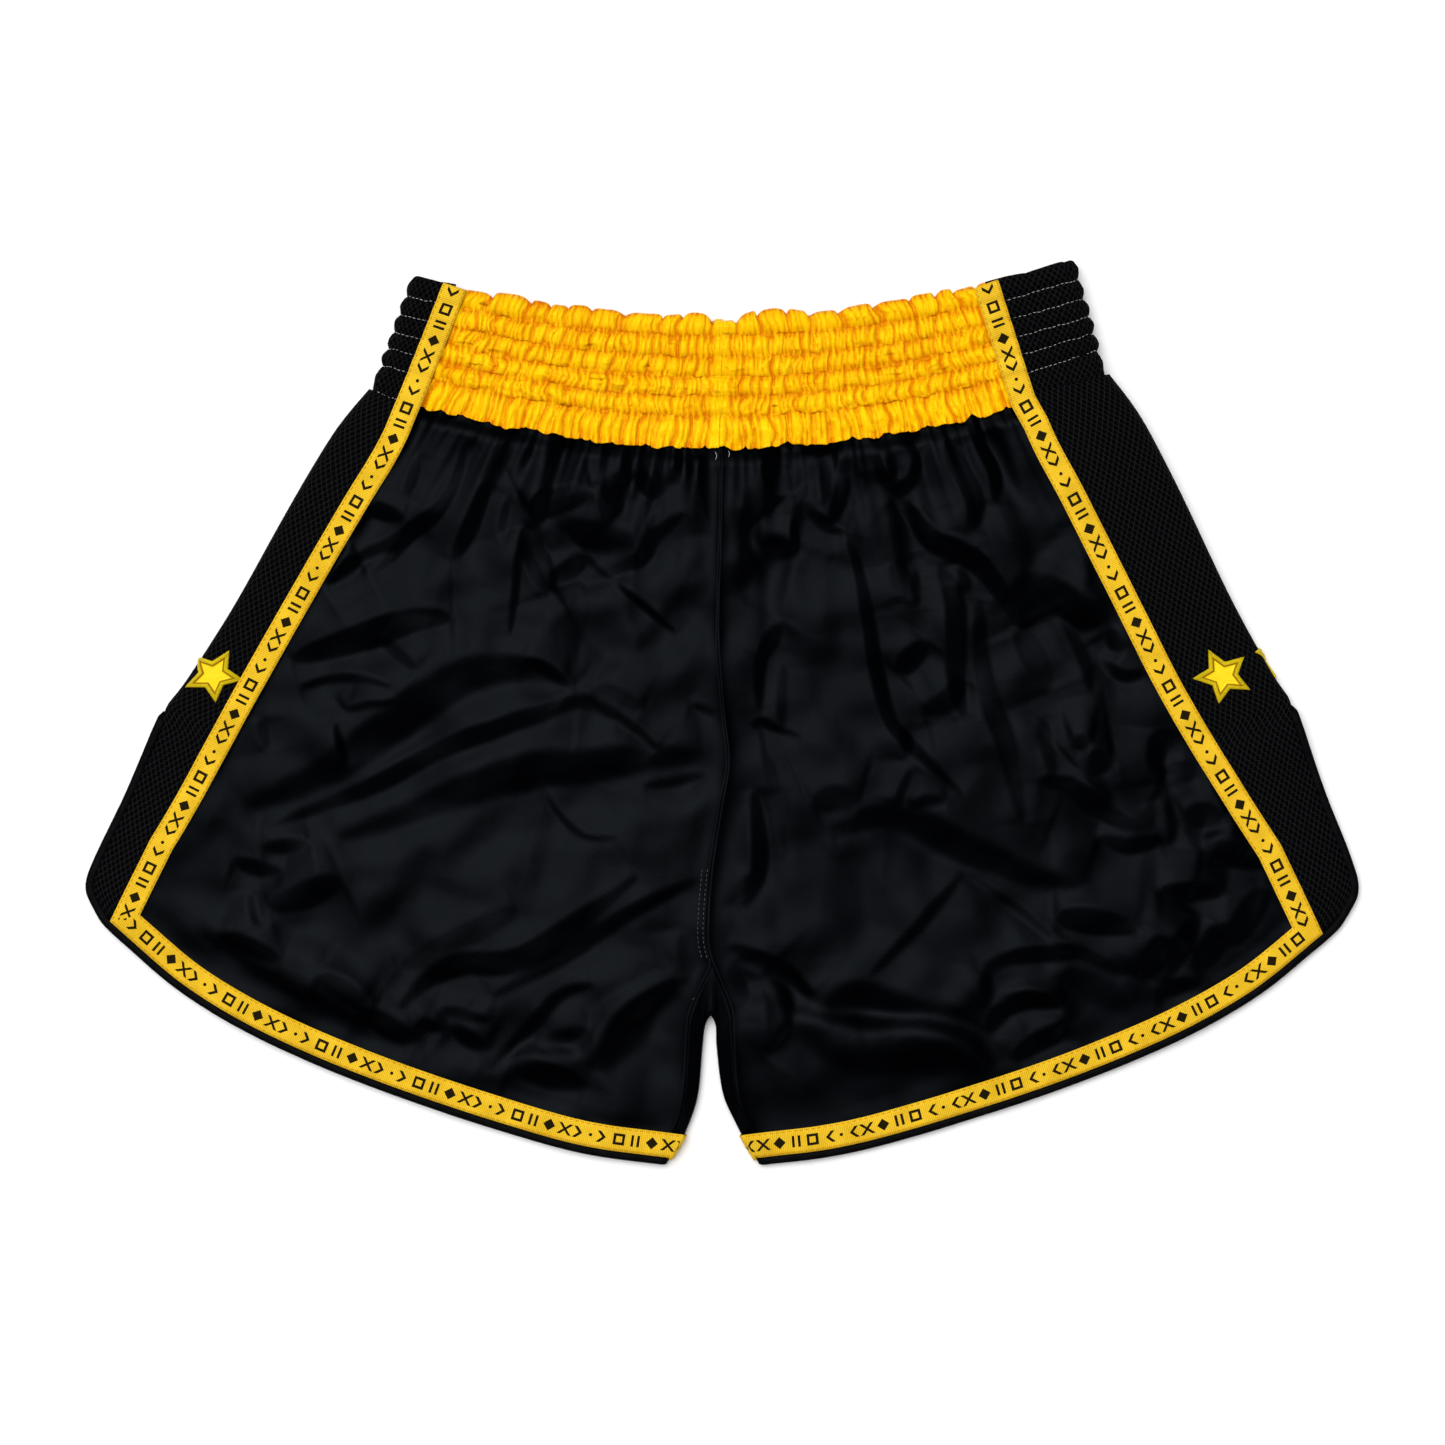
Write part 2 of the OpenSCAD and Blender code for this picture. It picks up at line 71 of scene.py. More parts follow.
BAND_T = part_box("waistband_front_left")[1].z
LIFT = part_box("waistband_back_left")[0].z
HEM_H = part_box("crotch_gusset")[1].z
BAND_R = (BAND_T - LIFT) / 2
BAND_MID = LIFT + BAND_R
WAIST_W = 334 * MM
BAND_H = 66 * MM
BAND_RISE = 24 * MM
MOUTH_Y = 199 * MM
SPREAD = 638 * MM
LINING = 5.4 * MM            # depth of the waistband's inner cloth
LINING_END = 0.93            # how far down the waistband it goes
TAPE_W = 12.5 * MM
TAPE_T = 0.6 * MM
BINDING_W = 4 * MM
CLOTH_T = 0.45 * MM
DEEPEST = 3.6 * MM           # a pleat of the waistband stops short of the elastics
STAR_R = 15 * MM
LEAN, LEAN_Y = 0.034, -88 * MM
TWIST = 11 * MM              # how far the side seams turn to the garment's left
UNEVEN = 8 * MM              # how much higher one side lies than the other
ROW_AT = [0, 0.165, 0.325, 0.475, 0.62, 0.77, 1]     # stitch rows, as shares of the waistband
# Shares of a leg's fold line, and of its hem, where things start.
SLIT_AT = 0.62
CORNER_AT = 0.945
STAR_AT = 0.545
SIDE_TOP = WAIST_W / 2
SIDE_LOW = SIDE_TOP + 18 * MM

# Outlines of the right half, as the design has them; the left half mirrors them.
TAPE_LINE = MM * np.array([[153, 156], [164, 132], [178.5, 107], [206, 57], [233, 7],
                           [262, -43], [285, -80], [297, -103]])
FOLD_LINE = MM * np.array([[185, 166], [202, 144], [223, 107], [249, 57], [271, 20], [283, 3],
                           [292, -18], [302, -43], [314, -70], [319, -86], [316, -97]])
HEM_LINE = MM * np.array([[24, -226], [76, -218], [157, -193], [220, -168], [266, -143],
                          [297, -118], [310, -106], [316, -97]])
INNER_LINE = MM * np.array([[0, -150], [3, -156], [4, -168], [6.5, -190], [12, -205],
                            [18, -217], [24, -226]])
GUSSET_LINE = MM * np.array([[0, -125], [9.5, -147], [11, -160], [13, -190], [19, -208],
                             [30, -220]])
FRONT_SEAM = MM * np.array([[-7.5, 125], [-7, 90], [-6.5, 40], [-3, 5], [0.8, -23], [-2, -47],
                            [-6, -80], [-7, -110], [-4, -124]])


# ---- Curves ----

def mix(a, b, t):
    return a + (b - a) * t


def fine(full):
    """A number of steps."""
    return full


def at_height(p, z):
    return np.concatenate([p, z[..., None]], -1)


def smooth(x):
    x = np.clip(x, 0, 1)
    return x * x * (3 - 2 * x)


def spline(points, n=10):
    """A smooth curve through points, with n steps between each two of them."""
    p = np.asarray(points, float)
    q = np.vstack([p[:1], p, p[-1:]])
    t = np.linspace(0, 1, n, endpoint=False)[:, None]
    parts = []
    for a, b, c, d in zip(q[:-3], q[1:-2], q[2:-1], q[3:]):
        parts.append(0.5 * (2 * b + (c - a) * t + (2 * a - 5 * b + 4 * c - d) * t ** 2
                            + (3 * b - a - 3 * c + d) * t ** 3))
    return np.vstack(parts + [p[-1:]])


def lengths(curve):
    return np.concatenate([[0], np.cumsum(np.linalg.norm(np.diff(curve, axis=0), axis=1))])


def along(curve, t):
    """The points at shares t of a curve's length."""
    s = lengths(curve)
    want = np.clip(t, 0, 1) * s[-1]
    return np.stack([np.interp(want, s, c) for c in curve.T], -1)


def unit(v):
    return v / np.maximum(np.linalg.norm(v, axis=-1, keepdims=True), 1e-12)


def heading(curve, t):
    t = np.asarray(t, float)
    return unit(along(curve, t + 0.01) - along(curve, t - 0.01))


def quarter(v, s):
    """v turned a quarter in the plane, towards the inside of side s."""
    return np.stack([-s * v[..., 1], s * v[..., 0]], -1)


def inset(curve, t, s, by):
    return along(curve, t) + by * quarter(heading(curve, t), s)


def side_of(points, s):
    return points * [s, 1]


def crotch_side(points, s):
    shift = -3.5 * MM * smooth((points[:, 1] + 220 * MM) / (50 * MM))
    return side_of(points, s) + np.stack([shift, 0 * shift], -1)


HEM = {s: spline(side_of(HEM_LINE, s)) for s in (LEFT, RIGHT)}
FOLD = {s: spline(side_of(FOLD_LINE, s)) for s in (LEFT, RIGHT)}
INNER = {s: spline(crotch_side(INNER_LINE, s)) for s in (LEFT, RIGHT)}
GUSSET = {s: spline(crotch_side(GUSSET_LINE, s)) for s in (LEFT, RIGHT)}


def laid(p):
    """Leans the whole garment and tilts its ends; every point passes through it."""
    p = np.array(p, float)
    x, y = p[..., 0].copy(), p[..., 1].copy()
    tilt = UNEVEN * mix(-1 / (3 * SPREAD), 1 / WAIST_W, np.clip((y + 0.105) / 0.32, 0, 1))
    p[..., 0] = x + LEAN * (y - LEAN_Y)
    p[..., 1] = y + x * tilt
    return p


def seam_shift(face, y):
    return -face * TWIST * mix(0.3, 1, smooth((y + 106 * MM) / (140 * MM)))


def hem_share(s, face):
    """Share of the hem where the seam of satin and mesh meets it."""
    return CORNER_AT + s * seam_shift(face, -110 * MM) / (340 * MM)


def panel_out(s, face):
    """The seam of satin and mesh, from the waistband to the hem."""
    p = side_of(TAPE_LINE, s)
    p[:, 0] += seam_shift(face, p[:, 1])
    return spline(np.vstack([p, inset(HEM[s], hem_share(s, face), s, BINDING_W)]))


SEAM = {(s, f): panel_out(s, f) for s in (LEFT, RIGHT) for f in (FRONT, BACK)}


def noise(x, y, scale, seed):
    """Smooth noise from -1 to 1, with lumps about scale across."""
    size = 64
    angles = 2 * math.pi * np.random.default_rng(seed).random((size, size))
    gx, gy = np.asarray(x) / scale + 500.3, np.asarray(y) / scale + 500.4
    ix, iy = np.floor(gx).astype(int), np.floor(gy).astype(int)
    fx, fy = gx - ix, gy - iy

    def corner(i, j):
        angle = angles[(ix + i) % size, (iy + j) % size]
        return np.cos(angle) * (fx - i) + np.sin(angle) * (fy - j)

    u, v = (f ** 3 * (f * (6 * f - 15) + 10) for f in (fx, fy))
    return 1.6 * mix(mix(corner(0, 0), corner(1, 0), u), mix(corner(0, 1), corner(1, 1), u), v)


# ---- Heights ----

def face_h(y):
    return mix(HEM_H, BAND_T, np.clip((y + 110 * MM) / (265 * MM), 0, 1) ** 1.5)


OPENING = {s: np.vstack([HEM[s], FOLD[s][::-1][:int(len(FOLD[s]) * (1 - SLIT_AT))]])
           for s in (LEFT, RIGHT)}


def opening_distance(p, s):
    """Distance of points to the edge of a leg opening."""
    flat = p[..., :2].reshape(-1, 2)
    edge = OPENING[s][::3]
    best = np.full(len(flat), 1.0)
    for a, b in zip(edge[:-1], edge[1:]):
        t = np.clip(((flat - a) @ (b - a)) / max((b - a) @ (b - a), 1e-12), 0, 1)
        best = np.minimum(best, np.linalg.norm(flat - a - t[:, None] * (b - a), axis=1))
    return best.reshape(p.shape[:-1])


EDGE_DROP = 4.6 * MM         # how much the front face sinks towards a leg opening's edge


def front_z(p, s):
    """Height of the front face's smooth shape, which seams and trims follow."""
    x, y = p[..., 0], p[..., 1]
    drop = EDGE_DROP * np.exp(-opening_distance(p, s) / (18 * MM))
    wave = 1.1 * MM * noise(x, y, 55 * MM, 3) + 0.5 * MM * noise(x, y, 23 * MM, 4)
    return face_h(y) + wave * smooth((170 * MM - y) / (40 * MM)) - drop - 0.6 * MM


def back_z(p):
    x, y = p[..., 0], p[..., 1]
    lift = LIFT * smooth((y - 120 * MM) / (30 * MM))
    return 1.1 * MM + 0.35 * MM * noise(x, y, 40 * MM, 5) + lift


def face_z(p, s, face):
    return front_z(p, s) if face == FRONT else back_z(p)


# ---- Meshes ----

def grid_faces(n, m):
    i = np.arange((n - 1) * (m - 1))
    a = i // (m - 1) * m + i % (m - 1)
    return np.stack([a, a + m, a + m + 1, a + 1], -1)


def make(name, points, faces, uv=None, flip=False):
    """A smooth-shaded mesh object. faces is an array or a list; uv is metres for each point."""
    mesh = bpy.data.meshes.new(name)
    if not isinstance(faces, list):
        faces = (faces[:, ::-1] if flip else faces).tolist()
    mesh.from_pydata(points.reshape(-1, 3).tolist(), [], faces)
    mesh.shade_smooth()
    if uv is not None:
        loops = np.zeros(len(mesh.loops), np.int32)
        mesh.loops.foreach_get("vertex_index", loops)
        layer = mesh.uv_layers.new(name="UVMap")
        layer.data.foreach_set("uv", uv.reshape(-1, 2)[loops].astype(np.float32).ravel())
    obj = bpy.data.objects.new(name, mesh)
    bpy.context.scene.collection.objects.link(obj)
    return obj


def edit_mesh(obj, *changes):
    """Makes each change, a function of a bmesh, to the object's mesh."""
    mesh = bmesh.new()
    mesh.from_mesh(obj.data)
    for change in changes:
        change(mesh)
    mesh.to_mesh(obj.data)
    mesh.free()


def weld(obj, distance=1e-6):
    """Joins points that lie on each other."""
    edit_mesh(obj, lambda mesh: bmesh.ops.remove_doubles(mesh, verts=mesh.verts, dist=distance),
              lambda mesh: bmesh.ops.dissolve_degenerate(mesh, edges=mesh.edges, dist=distance))


def face_outwards(obj):
    edit_mesh(obj, lambda mesh: bmesh.ops.recalc_face_normals(mesh, faces=mesh.faces))


def thicken(obj, thickness, offset=-1):
    m = obj.modifiers.new("thickness", "SOLIDIFY")
    m.thickness = thickness
    m.offset = offset
    m.use_even_offset = False


def measure_uv(p):
    """UVs in metres for a grid: distance along its middle row and column."""
    n, m = p.shape[:2]
    u = lengths(p[n // 2])
    v = lengths(p[:, m // 2])
    return np.stack(np.meshgrid(u, v), -1)


def finish_piece(obj, material, nodes=()):
    obj.data.materials.append(material)
    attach(obj, "root")
    if nodes:
        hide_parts(*nodes)


# ---- Cloth that is simulated: distances held, gravity, and a floor ----

GIVE = 1.003                 # how much longer than drawn the threads are
DAMPING = 0.85               # share of its speed that the cloth keeps
SLANT_STIFF = 0.3
BEND_STIFF = 0.1
EVEN_OUT = 0.3               # how far a bent pair of threads straightens
GRAVITY = 0.003 * MM         # fall in one round


def pull(p, free, a, b, rest, stiff):
    """Moves the two ends of each thread towards its length."""
    d = p[b] - p[a]
    size = np.linalg.norm(d, axis=-1, keepdims=True)
    wa, wb = free[a], free[b]
    share = stiff * (size - rest[..., None]) / np.maximum(size * (wa + wb), 1e-9) * d
    p[a] += wa * share
    p[b] -= wb * share


def runs(axis, first, reach):
    """Slices for thread pairs (i, i + reach) that share no point, and for their lengths."""
    one, two = slice(first, -reach, 2 * reach), slice(first + reach, None, 2 * reach)
    whole, cut = slice(None), slice(first, None, 2 * reach)
    if axis == 0:
        return (one, whole), (two, whole), (cut, whole)
    return (whole, one), (whole, two), (whole, cut)


def thread_lengths(p, slack):
    """Lengths of the threads across and down, of both diagonals, and of two in a row."""
    def size(a, b):
        return np.linalg.norm(b - a, axis=-1)
    rest = {1: size(p[:, :-1], p[:, 1:]) * (1 + slack), 0: size(p[:-1], p[1:]) * GIVE}
    two = {1: mix(size(p[:, :-2], p[:, 2:]), rest[1][:, :-1] + rest[1][:, 1:], EVEN_OUT),
           0: mix(size(p[:-2], p[2:]), rest[0][:-1] + rest[0][1:], EVEN_OUT)}
    slants = size(p[:-1, :-1], p[1:, 1:]) * GIVE, size(p[:-1, 1:], p[1:, :-1]) * GIVE
    return rest, two, slants


def settle(p, free, slack, low, high, rounds):
    """Lets the cloth grid p come to rest between the heights low and high."""
    rest, two, slants = thread_lengths(p, slack)
    speed = np.zeros_like(p)
    free = free[..., None]
    for _ in range(rounds):
        before = p.copy()
        p += speed * free
        p[..., 2:] -= GRAVITY * free
        for axis in (1, 0):
            for first in (0, 1):
                a, b, cut = runs(axis, first, 1)
                pull(p, free, a, b, rest[axis][cut], 1.0)
            for first in (0, 1):
                for shift in (0, 1):
                    a, b, cut = runs(axis, first + 2 * shift, 2)
                    pull(p, free, a, b, two[axis][cut], BEND_STIFF)
        for first in (0, 1):
            rows, nexts = slice(first, -1, 2), slice(first + 1, None, 2)
            ends = slice(None, -1), slice(1, None)
            for slant, here, there in zip(slants, ends, ends[::-1]):
                pull(p, free, (rows, here), (nexts, there), slant[first::2], SLANT_STIFF)
        p[..., 2] = np.where(free[..., 0] > 0, np.clip(p[..., 2], low, high), p[..., 2])
        speed = np.clip(DAMPING * (p - before), -MM, MM)
    return p


def finer(a):
    """A grid with a point added between each two, on a smooth curve through its neighbours."""
    for axis in (0, 1):
        a = np.moveaxis(a, axis, 0)
        middle = (a[1:] + a[:-1]) / 2
        middle[1:-1] += (middle[1:-1] - (a[3:] + a[:-3]) / 2) / 8
        out = np.zeros((2 * len(a) - 1,) + a.shape[1:])
        out[::2], out[1::2] = a, middle
        a = np.moveaxis(out, 0, axis)
    return a


def soften(a, times):
    """Evens out the inside of a grid."""
    for _ in range(times):
        a[1:-1, 1:-1] = (4 * a[1:-1, 1:-1] + a[:-2, 1:-1] + a[2:, 1:-1] + a[1:-1, :-2]
                         + a[1:-1, 2:]) / 8
    return a


# ---- Shapes of the satin panels ----

def between(top, out, low, inn, n, m):
    """Points of a patch between four edges: n rows down, m columns across."""
    u, v = np.meshgrid(np.linspace(0, 1, m), np.linspace(0, 1, n))
    u, v = u[..., None], v[..., None]
    t, o, l, i = (along(c, np.linspace(0, 1, k))
                  for c, k in ((top, m), (out, n), (low, m), (inn, n)))
    t, l, o, i = t[None], l[None], o[:, None], i[:, None]
    corners = mix(mix(top[0], top[-1], u), mix(low[0], low[-1], u), v)
    return mix(t, l, v) + mix(i, o, u) - corners


def band_top(x):
    return MOUTH_Y + BAND_RISE * (x / SIDE_TOP) ** 2


def band_low(x):
    return MOUTH_Y - BAND_H + (BAND_RISE + 8 * MM) * (x / SIDE_LOW) ** 2


def seam_x(s, face, v):
    return s * mix(0.79 * SIDE_TOP, TAPE_LINE[0, 0], v) + seam_shift(face, 223 * MM)


def centre_x(face):
    return -9 * MM if face == FRONT else 4 * MM


TUCK = 5 * MM                # how far a panel goes up under the waistband's frill


def panel_edges(s, face):
    x = np.linspace(centre_x(face), seam_x(s, face, 1), 20)
    top = np.stack([x, band_low(x) + TUCK], -1)
    seam = FRONT_SEAM * ([1, 1] if face == FRONT else [-0.4, 1])
    inner = np.vstack([top[:1], spline(seam)[:-1], GUSSET[s]])
    out = np.vstack([top[-1:], SEAM[s, face]])
    t = np.linspace(0.02, hem_share(s, face), 40)
    low = np.vstack([inner[-1:], inset(HEM[s], t[1:], s, 1.5 * MM)])
    out[-1] = low[-1]
    return top, out, low, inner


# Creases pressed into the front face, in mm on the laid garment. Each one is its half width,
# how steep its sides are, and then x, y along its bottom.
CREASES_LEFT = [
    (3.5, .45, -128, 136, -132, 118, -142, 101, -160, 88, -178, 79, -196, 67),
    (2.5, .35, -150, 94, -164, 79, -178, 68),
    (4, .45, -181, 104, -170, 101, -158, 97),
    (5, .45, -200, 66, -190, 72, -180, 77),
    (6.5, .5, -134, 48, -152, 47, -172, 41, -192, 34, -216, 27),
    (4, .3, -117, 116, -124, 96, -135, 76),
    (2.5, .3, -107, 108, -109, 97, -110, 86),
    (6, .45, -97, 100, -84, 106, -64, 111),
    (6, .45, -99, 94, -91, 74, -86, 60),
    (7, .5, -94, 84, -72, 90, -43, 86),
    (5, .45, -86, 66, -76, 72, -68, 80),
    (3.5, .45, -71, 66, -56, 71, -40, 78, -32, 90, -18, 101),
    (2, .6, -53, 66, -38, 53, -22, 40),
    (9, .17, -72, 58, -58, 44, -46, 28),
    (2, .5, -101, 86, -103, 62, -106, 38),
    (3, .45, -98, 27, -86, 22, -75, 13),
    (2.5, .5, -72, 12, -56, 2, -40, -10, -32, -17),
    (4, .25, -64, 14, -52, 9, -40, 3),
    (9, .5, -78, 15, -100, 22, -122, 21, -146, 8, -168, -8, -184, -20, -206, -33, -240, -47),
    (2, .5, -193, -4, -191, -14, -188, -26),
    (4.5, .5, -228, -57, -200, -46, -175, -36, -141, -18, -115, -8, -92, 0, -72, 6, -54, -4),
    (8, .5, -194, -62, -158, -50, -124, -36, -96, -28, -64, -25, -38, -22, -10, -20),
    (2.5, .35, -40, -36, -24, -34, -8, -30),
    (2, .4, -89, -39, -81, -51, -69, -61, -52, -62),
    (3.5, .4, -231, -67, -218, -66, -206, -64),
    (3.5, .5, -245, -73, -234, -77, -220, -79),
    (6, .3, -228, -96, -208, -90, -190, -82),
    (2.5, .4, -236, -89, -235, -98, -232, -107),
    (4, .35, -252, -110, -236, -116, -220, -123),
    (5, .35, -202, -130, -190, -137, -176, -148),
    (5.5, .5, -162, -148, -146, -132, -127, -125, -106, -124, -82, -111, -62, -97, -42, -81),
    (3, .45, -142, -147, -130, -150, -116, -153),
    (4, .48, -116, -142, -90, -127, -72, -117, -46, -99, -12, -83),
    (6, .2, -160, -127, -130, -112, -102, -97),
    (3, .45, -117, -178, -98, -159, -81, -141, -64, -135),
    (8, .5, -64, -178, -48, -160, -37, -146, -22, -137),
    (5.5, .4, -106, -174, -88, -181, -68, -186),
    (3.5, .35, -92, -166, -80, -162, -66, -158),
    (5, .45, -180, -148, -168, -156, -154, -164),
    (2.5, .5, -153, -157, -147, -156, -140, -158),
    (4, .5, -136, -156, -128, -162, -118, -168),
    (5, .3, -18, -108, -17, -120, -15, -134),
    (2, .5, -47, 134, -48, 120, -45, 106),
    (2.5, .5, -23, 132, -21, 124, -20, 116),
    (4, .5, -41, 121, -36, 112, -30, 108),
    (5, .4, -57, 118, -54, 110, -48, 104),
    (4, .45, -10, 130, -6, 112, -4, 90),
    (7, .25, -18, 64, -11, 58, -4, 54),
    (2, .5, -16, 5, -8, 2, -1, 0),
    (3, .3, -151, 130, -154, 118, -158, 108),
    (3, .35, -172, 38, -162, 30, -152, 22),
    (2.5, .5, -211, 13, -198, 17, -187, 18, -176, 17, -164, 13),
    (2.2, .5, -193, 10, -187, 3, -176, 5, -164, 6),
    (3, .35, -230, -2, -229, -10, -227, -18),
]
CREASES_RIGHT = [
    (6, .45, 30, 134, 27, 120, 34, 110),
    (3, .4, 41, 106, 47, 98, 54, 93, 62, 90),
    (3, .4, 52, 131, 52, 118, 51, 104),
    (3.5, .55, 61, 132, 60, 116, 58, 104, 55, 95),
    (4, .25, 66, 120, 67, 112, 68, 104),
    (3.5, .5, 61, 90, 68, 72, 73, 46, 78, 18, 85, -5, 102, -23, 120, -40),
    (3, .5, 76, 133, 80, 119, 88, 111, 95, 118, 100, 136),
    (2.5, .4, 84, 132, 85, 124, 86, 117),
    (5, .5, 86, 108, 95, 99, 105, 87, 119, 80, 130, 73, 141, 58, 148, 42),
    (6, .25, 148, 44, 155, 30, 164, 12),
    (5, .45, 111, 137, 118, 123, 126, 106, 124, 90),
    (3, .55, 126, 138, 136, 121, 136, 104),
    (8, .5, 153, 72, 166, 60, 180, 51, 193, 52),
    (5, .48, 108, 74, 116, 56, 117, 22, 120, -3),
    (5, .3, 120, 18, 112, 6, 100, 2),
    (3, .4, 119, 74, 121, 66, 120, 60),
    (5, .35, 129, 57, 129, 32, 133, 10, 141, -12, 146, -32, 150, -54),
    (5, .2, 86, 76, 90, 66, 93, 58),
    (2, .35, 97, 72, 97, 62, 97, 54),
    (5, .35, 102, 37, 95, 28, 87, 20),
    (3.5, .3, 160, -1, 162, -14, 166, -32),
    (3, .3, 169, 48, 180, 31, 184, 10),
    (3, .5, 188, 28, 200, 19, 212, 21),
    (4, .3, 193, 42, 197, 36, 202, 32),
    (4, .35, 174, -15, 179, -14, 184, -15),
    (5.5, .4, 180, -30, 187, -24, 196, -22),
    (5, .45, 158, -34, 172, -35, 184, -44, 200, -54, 214, -59),
    (4, .5, 188, -61, 204, -66, 220, -62),
    (7.5, .5, 54, -59, 76, -51, 92, -52, 110, -62, 130, -71, 153, -80, 181, -86),
    (6, .25, 45, -46, 56, -42, 68, -45),
    (2.5, .55, 87, -46, 91, -36, 95, -26),
    (3, .35, 91, -6, 92, -14, 92, -23),
    (2.5, .4, 94, -46, 102, -43, 112, -43),
    (2.5, .4, 121, -79, 108, -95, 93, -112, 74, -131),
    (2.5, .4, 122, -79, 146, -96, 173, -118),
    (6, .45, 166, -103, 182, -103, 208, -108),
    (4, .5, 130, -128, 145, -122, 163, -120, 180, -120, 202, -131),
    (8, .3, 164, -134, 184, -136, 206, -147),
    (4, .5, 218, -88, 234, -89, 252, -90),
    (6, .45, 240, -66, 256, -70, 274, -74),
    (5, .45, 220, -110, 215, -122, 208, -133),
    (5, .5, 239, -100, 228, -118, 218, -135),
    (6, .35, 250, -104, 244, -118, 236, -128),
    (4, .4, 218, -137, 228, -137, 240, -135),
    (7, .45, 50, -150, 62, -142, 74, -142, 98, -148, 126, -152),
    (4, .45, 2, -116, 17, -122, 34, -131, 46, -142),
    (6, .5, 18, -132, 27, -142, 28, -156, 20, -170),
    (4, .5, 4, -124, 8, -134, 12, -146),
    (4, .5, 16, -38, 18, -56, 19, -78, 10, -98),
    (3, .35, 0, -97, 8, -88, 14, -80),
    (3, .2, 20, -16, 26, -36, 32, -72),
    (2.5, .4, 22, 36, 19, 22, 19, 0),
    (3.5, .3, 30, 46, 24, 36, 20, 27),
    (2.5, .25, 31, 26, 30, 8, 30, -8),
    (2, .5, 15, -7, 20, -4, 29, -8, 40, -11),
    (8, .4, 2, 60, 8, 74, 4, 90, 14, 102),
    (7, .45, 17, 82, 26, 82, 36, 80),
    (2, .45, 35, 98, 36, 88, 37, 78),
    (3, .5, 134, -146, 132, -136, 133, -128),
    (5, .5, 133, -160, 143, -146, 156, -143, 170, -147),
    (5, .45, 146, -174, 160, -164, 172, -155),
    (6, .3, 273, -88, 264, -100, 254, -116),
    (4, .4, 218, -8, 217, -20, 219, -34),
    (5, .35, 222, -26, 230, -29, 238, -26),
    (3, .5, 222, -42, 225, -54, 224, -66),
    (6, .4, 230, -54, 240, -51, 250, -54),
    (4, .4, 256, -56, 258, -64, 260, -72),
]
# Rounded rolls in the same way: how far they reach on their left and right, height, then x, y.
ROLLS_LEFT = [
    (24, 13, 2.6, -262, -104, -221, -126, -192, -141, -176, -153),
    (6, 14, 2.0, -116, -179, -90, -170, -68, -174),
    (7, 12, 2.4, -69, -172, -56, -150, -40, -140, -22, -130),
]
ROLLS_RIGHT = [
    (6, 26, 4.6, 30, -148, 50, -153, 72, -157, 102, -158, 122, -164, 134, -176),
    (5, 9, 2.2, 2, -124, 17, -128, 29, -138, 31, -158, 18, -172),
    (5, 5, 1.8, 138, -150, 150, -139, 166, -141, 172, -150, 160, -160),
]
LIT_FROM = np.array([-0.6, 0.8])     # the side of a crease that stands higher
CREASE_MOST = 7 * MM                 # no crease is higher or deeper


def path_distance(q, line):
    """Distance of points q to a line, the share of the line there, and the line's left side."""
    best, where, left = np.full(len(q), 1.0), np.zeros(len(q)), np.zeros(len(q))
    for k, (a, b) in enumerate(zip(line[:-1], line[1:])):
        ab = b - a
        t = np.clip(((q - a) @ ab) / (ab @ ab), 0, 1)
        d = q - a - t[:, None] * ab
        size = np.linalg.norm(d, axis=-1)
        closer = size < best
        best = np.where(closer, size, best)
        where = np.where(closer, (k + t) / (len(line) - 1), where)
        left = np.where(closer, np.sign(ab[0] * d[:, 1] - ab[1] * d[:, 0]), left)
    return best, where, left


def crease_height(p, creases, rolls=()):
    """Height that creases and rolls add at laid points p."""
    total = np.zeros(p.shape[:-1])
    entries = [(1.3 * w, 7 * w + 4, 0, steep, path) for w, steep, *path in creases]
    entries += [(left, right, high, 0, path) for left, right, high, *path in rolls]
    for one, two, high, steep, path in entries:
        line = spline(MM * np.array(path, float).reshape(-1, 2), 10)
        reach = (one + two) * MM
        near = ((p > line.min(0) - reach) & (p < line.max(0) + reach)).all(-1)
        distance, where, left = path_distance(p[near], line)
        chord = line[-1] - line[0]
        upper = left * (1 if chord[0] * LIT_FROM[1] > chord[1] * LIT_FROM[0] else -1)
        taper = np.clip(np.sin(np.pi * where), 0, 1)
        narrow = np.maximum(taper, 0.02) ** 0.5
        if steep:
            x = distance / (one * MM * narrow)
            away = np.clip(1 - (distance / MM - one * narrow) / two, 0, 1)
            total[near] += upper * 0.55 * one * steep * MM * taper ** 0.7 * np.minimum(
                1.15 * x, 1) * np.where(x > 1, away ** 2, 1)
        else:
            x = np.minimum(distance / (np.where(left > 0, one, two) * MM * narrow), 1)
            total[near] += high * MM * taper ** 0.7 * (1 - x * x) ** 2
    return CREASE_MOST * np.tanh(total / CREASE_MOST)


def rumple(p, s, face):
    """Broad waves and faint crumples, drawn out along the way the cloth was pulled."""
    angle = math.radians(24 if s == LEFT else -62)
    across = -p[..., 0] * math.sin(angle) + p[..., 1] * math.cos(angle)
    along_it = p[..., 0] * math.cos(angle) + p[..., 1] * math.sin(angle)
    bend = 6 * MM * noise(p[..., 0], p[..., 1], 45 * MM, 71 + s)
    broad = noise(across + bend, along_it / 2.2, 30 * MM, 72 + s + 5 * face)
    mid = noise(across + bend, along_it / 2.8, 13 * MM, 73 + s + 5 * face)
    patch = smooth(noise(p[..., 0], p[..., 1], 50 * MM, 75 + s) + 0.6)
    return MM * (1.2 * broad + 0.22 * mid * patch)


# Gathers below the waistband: their size, height and reach down the panel, in mm.
FLUTES = [(17, 3.2, 55), (8.5, 3.0, 30), (4.5, 1.1, 14)]


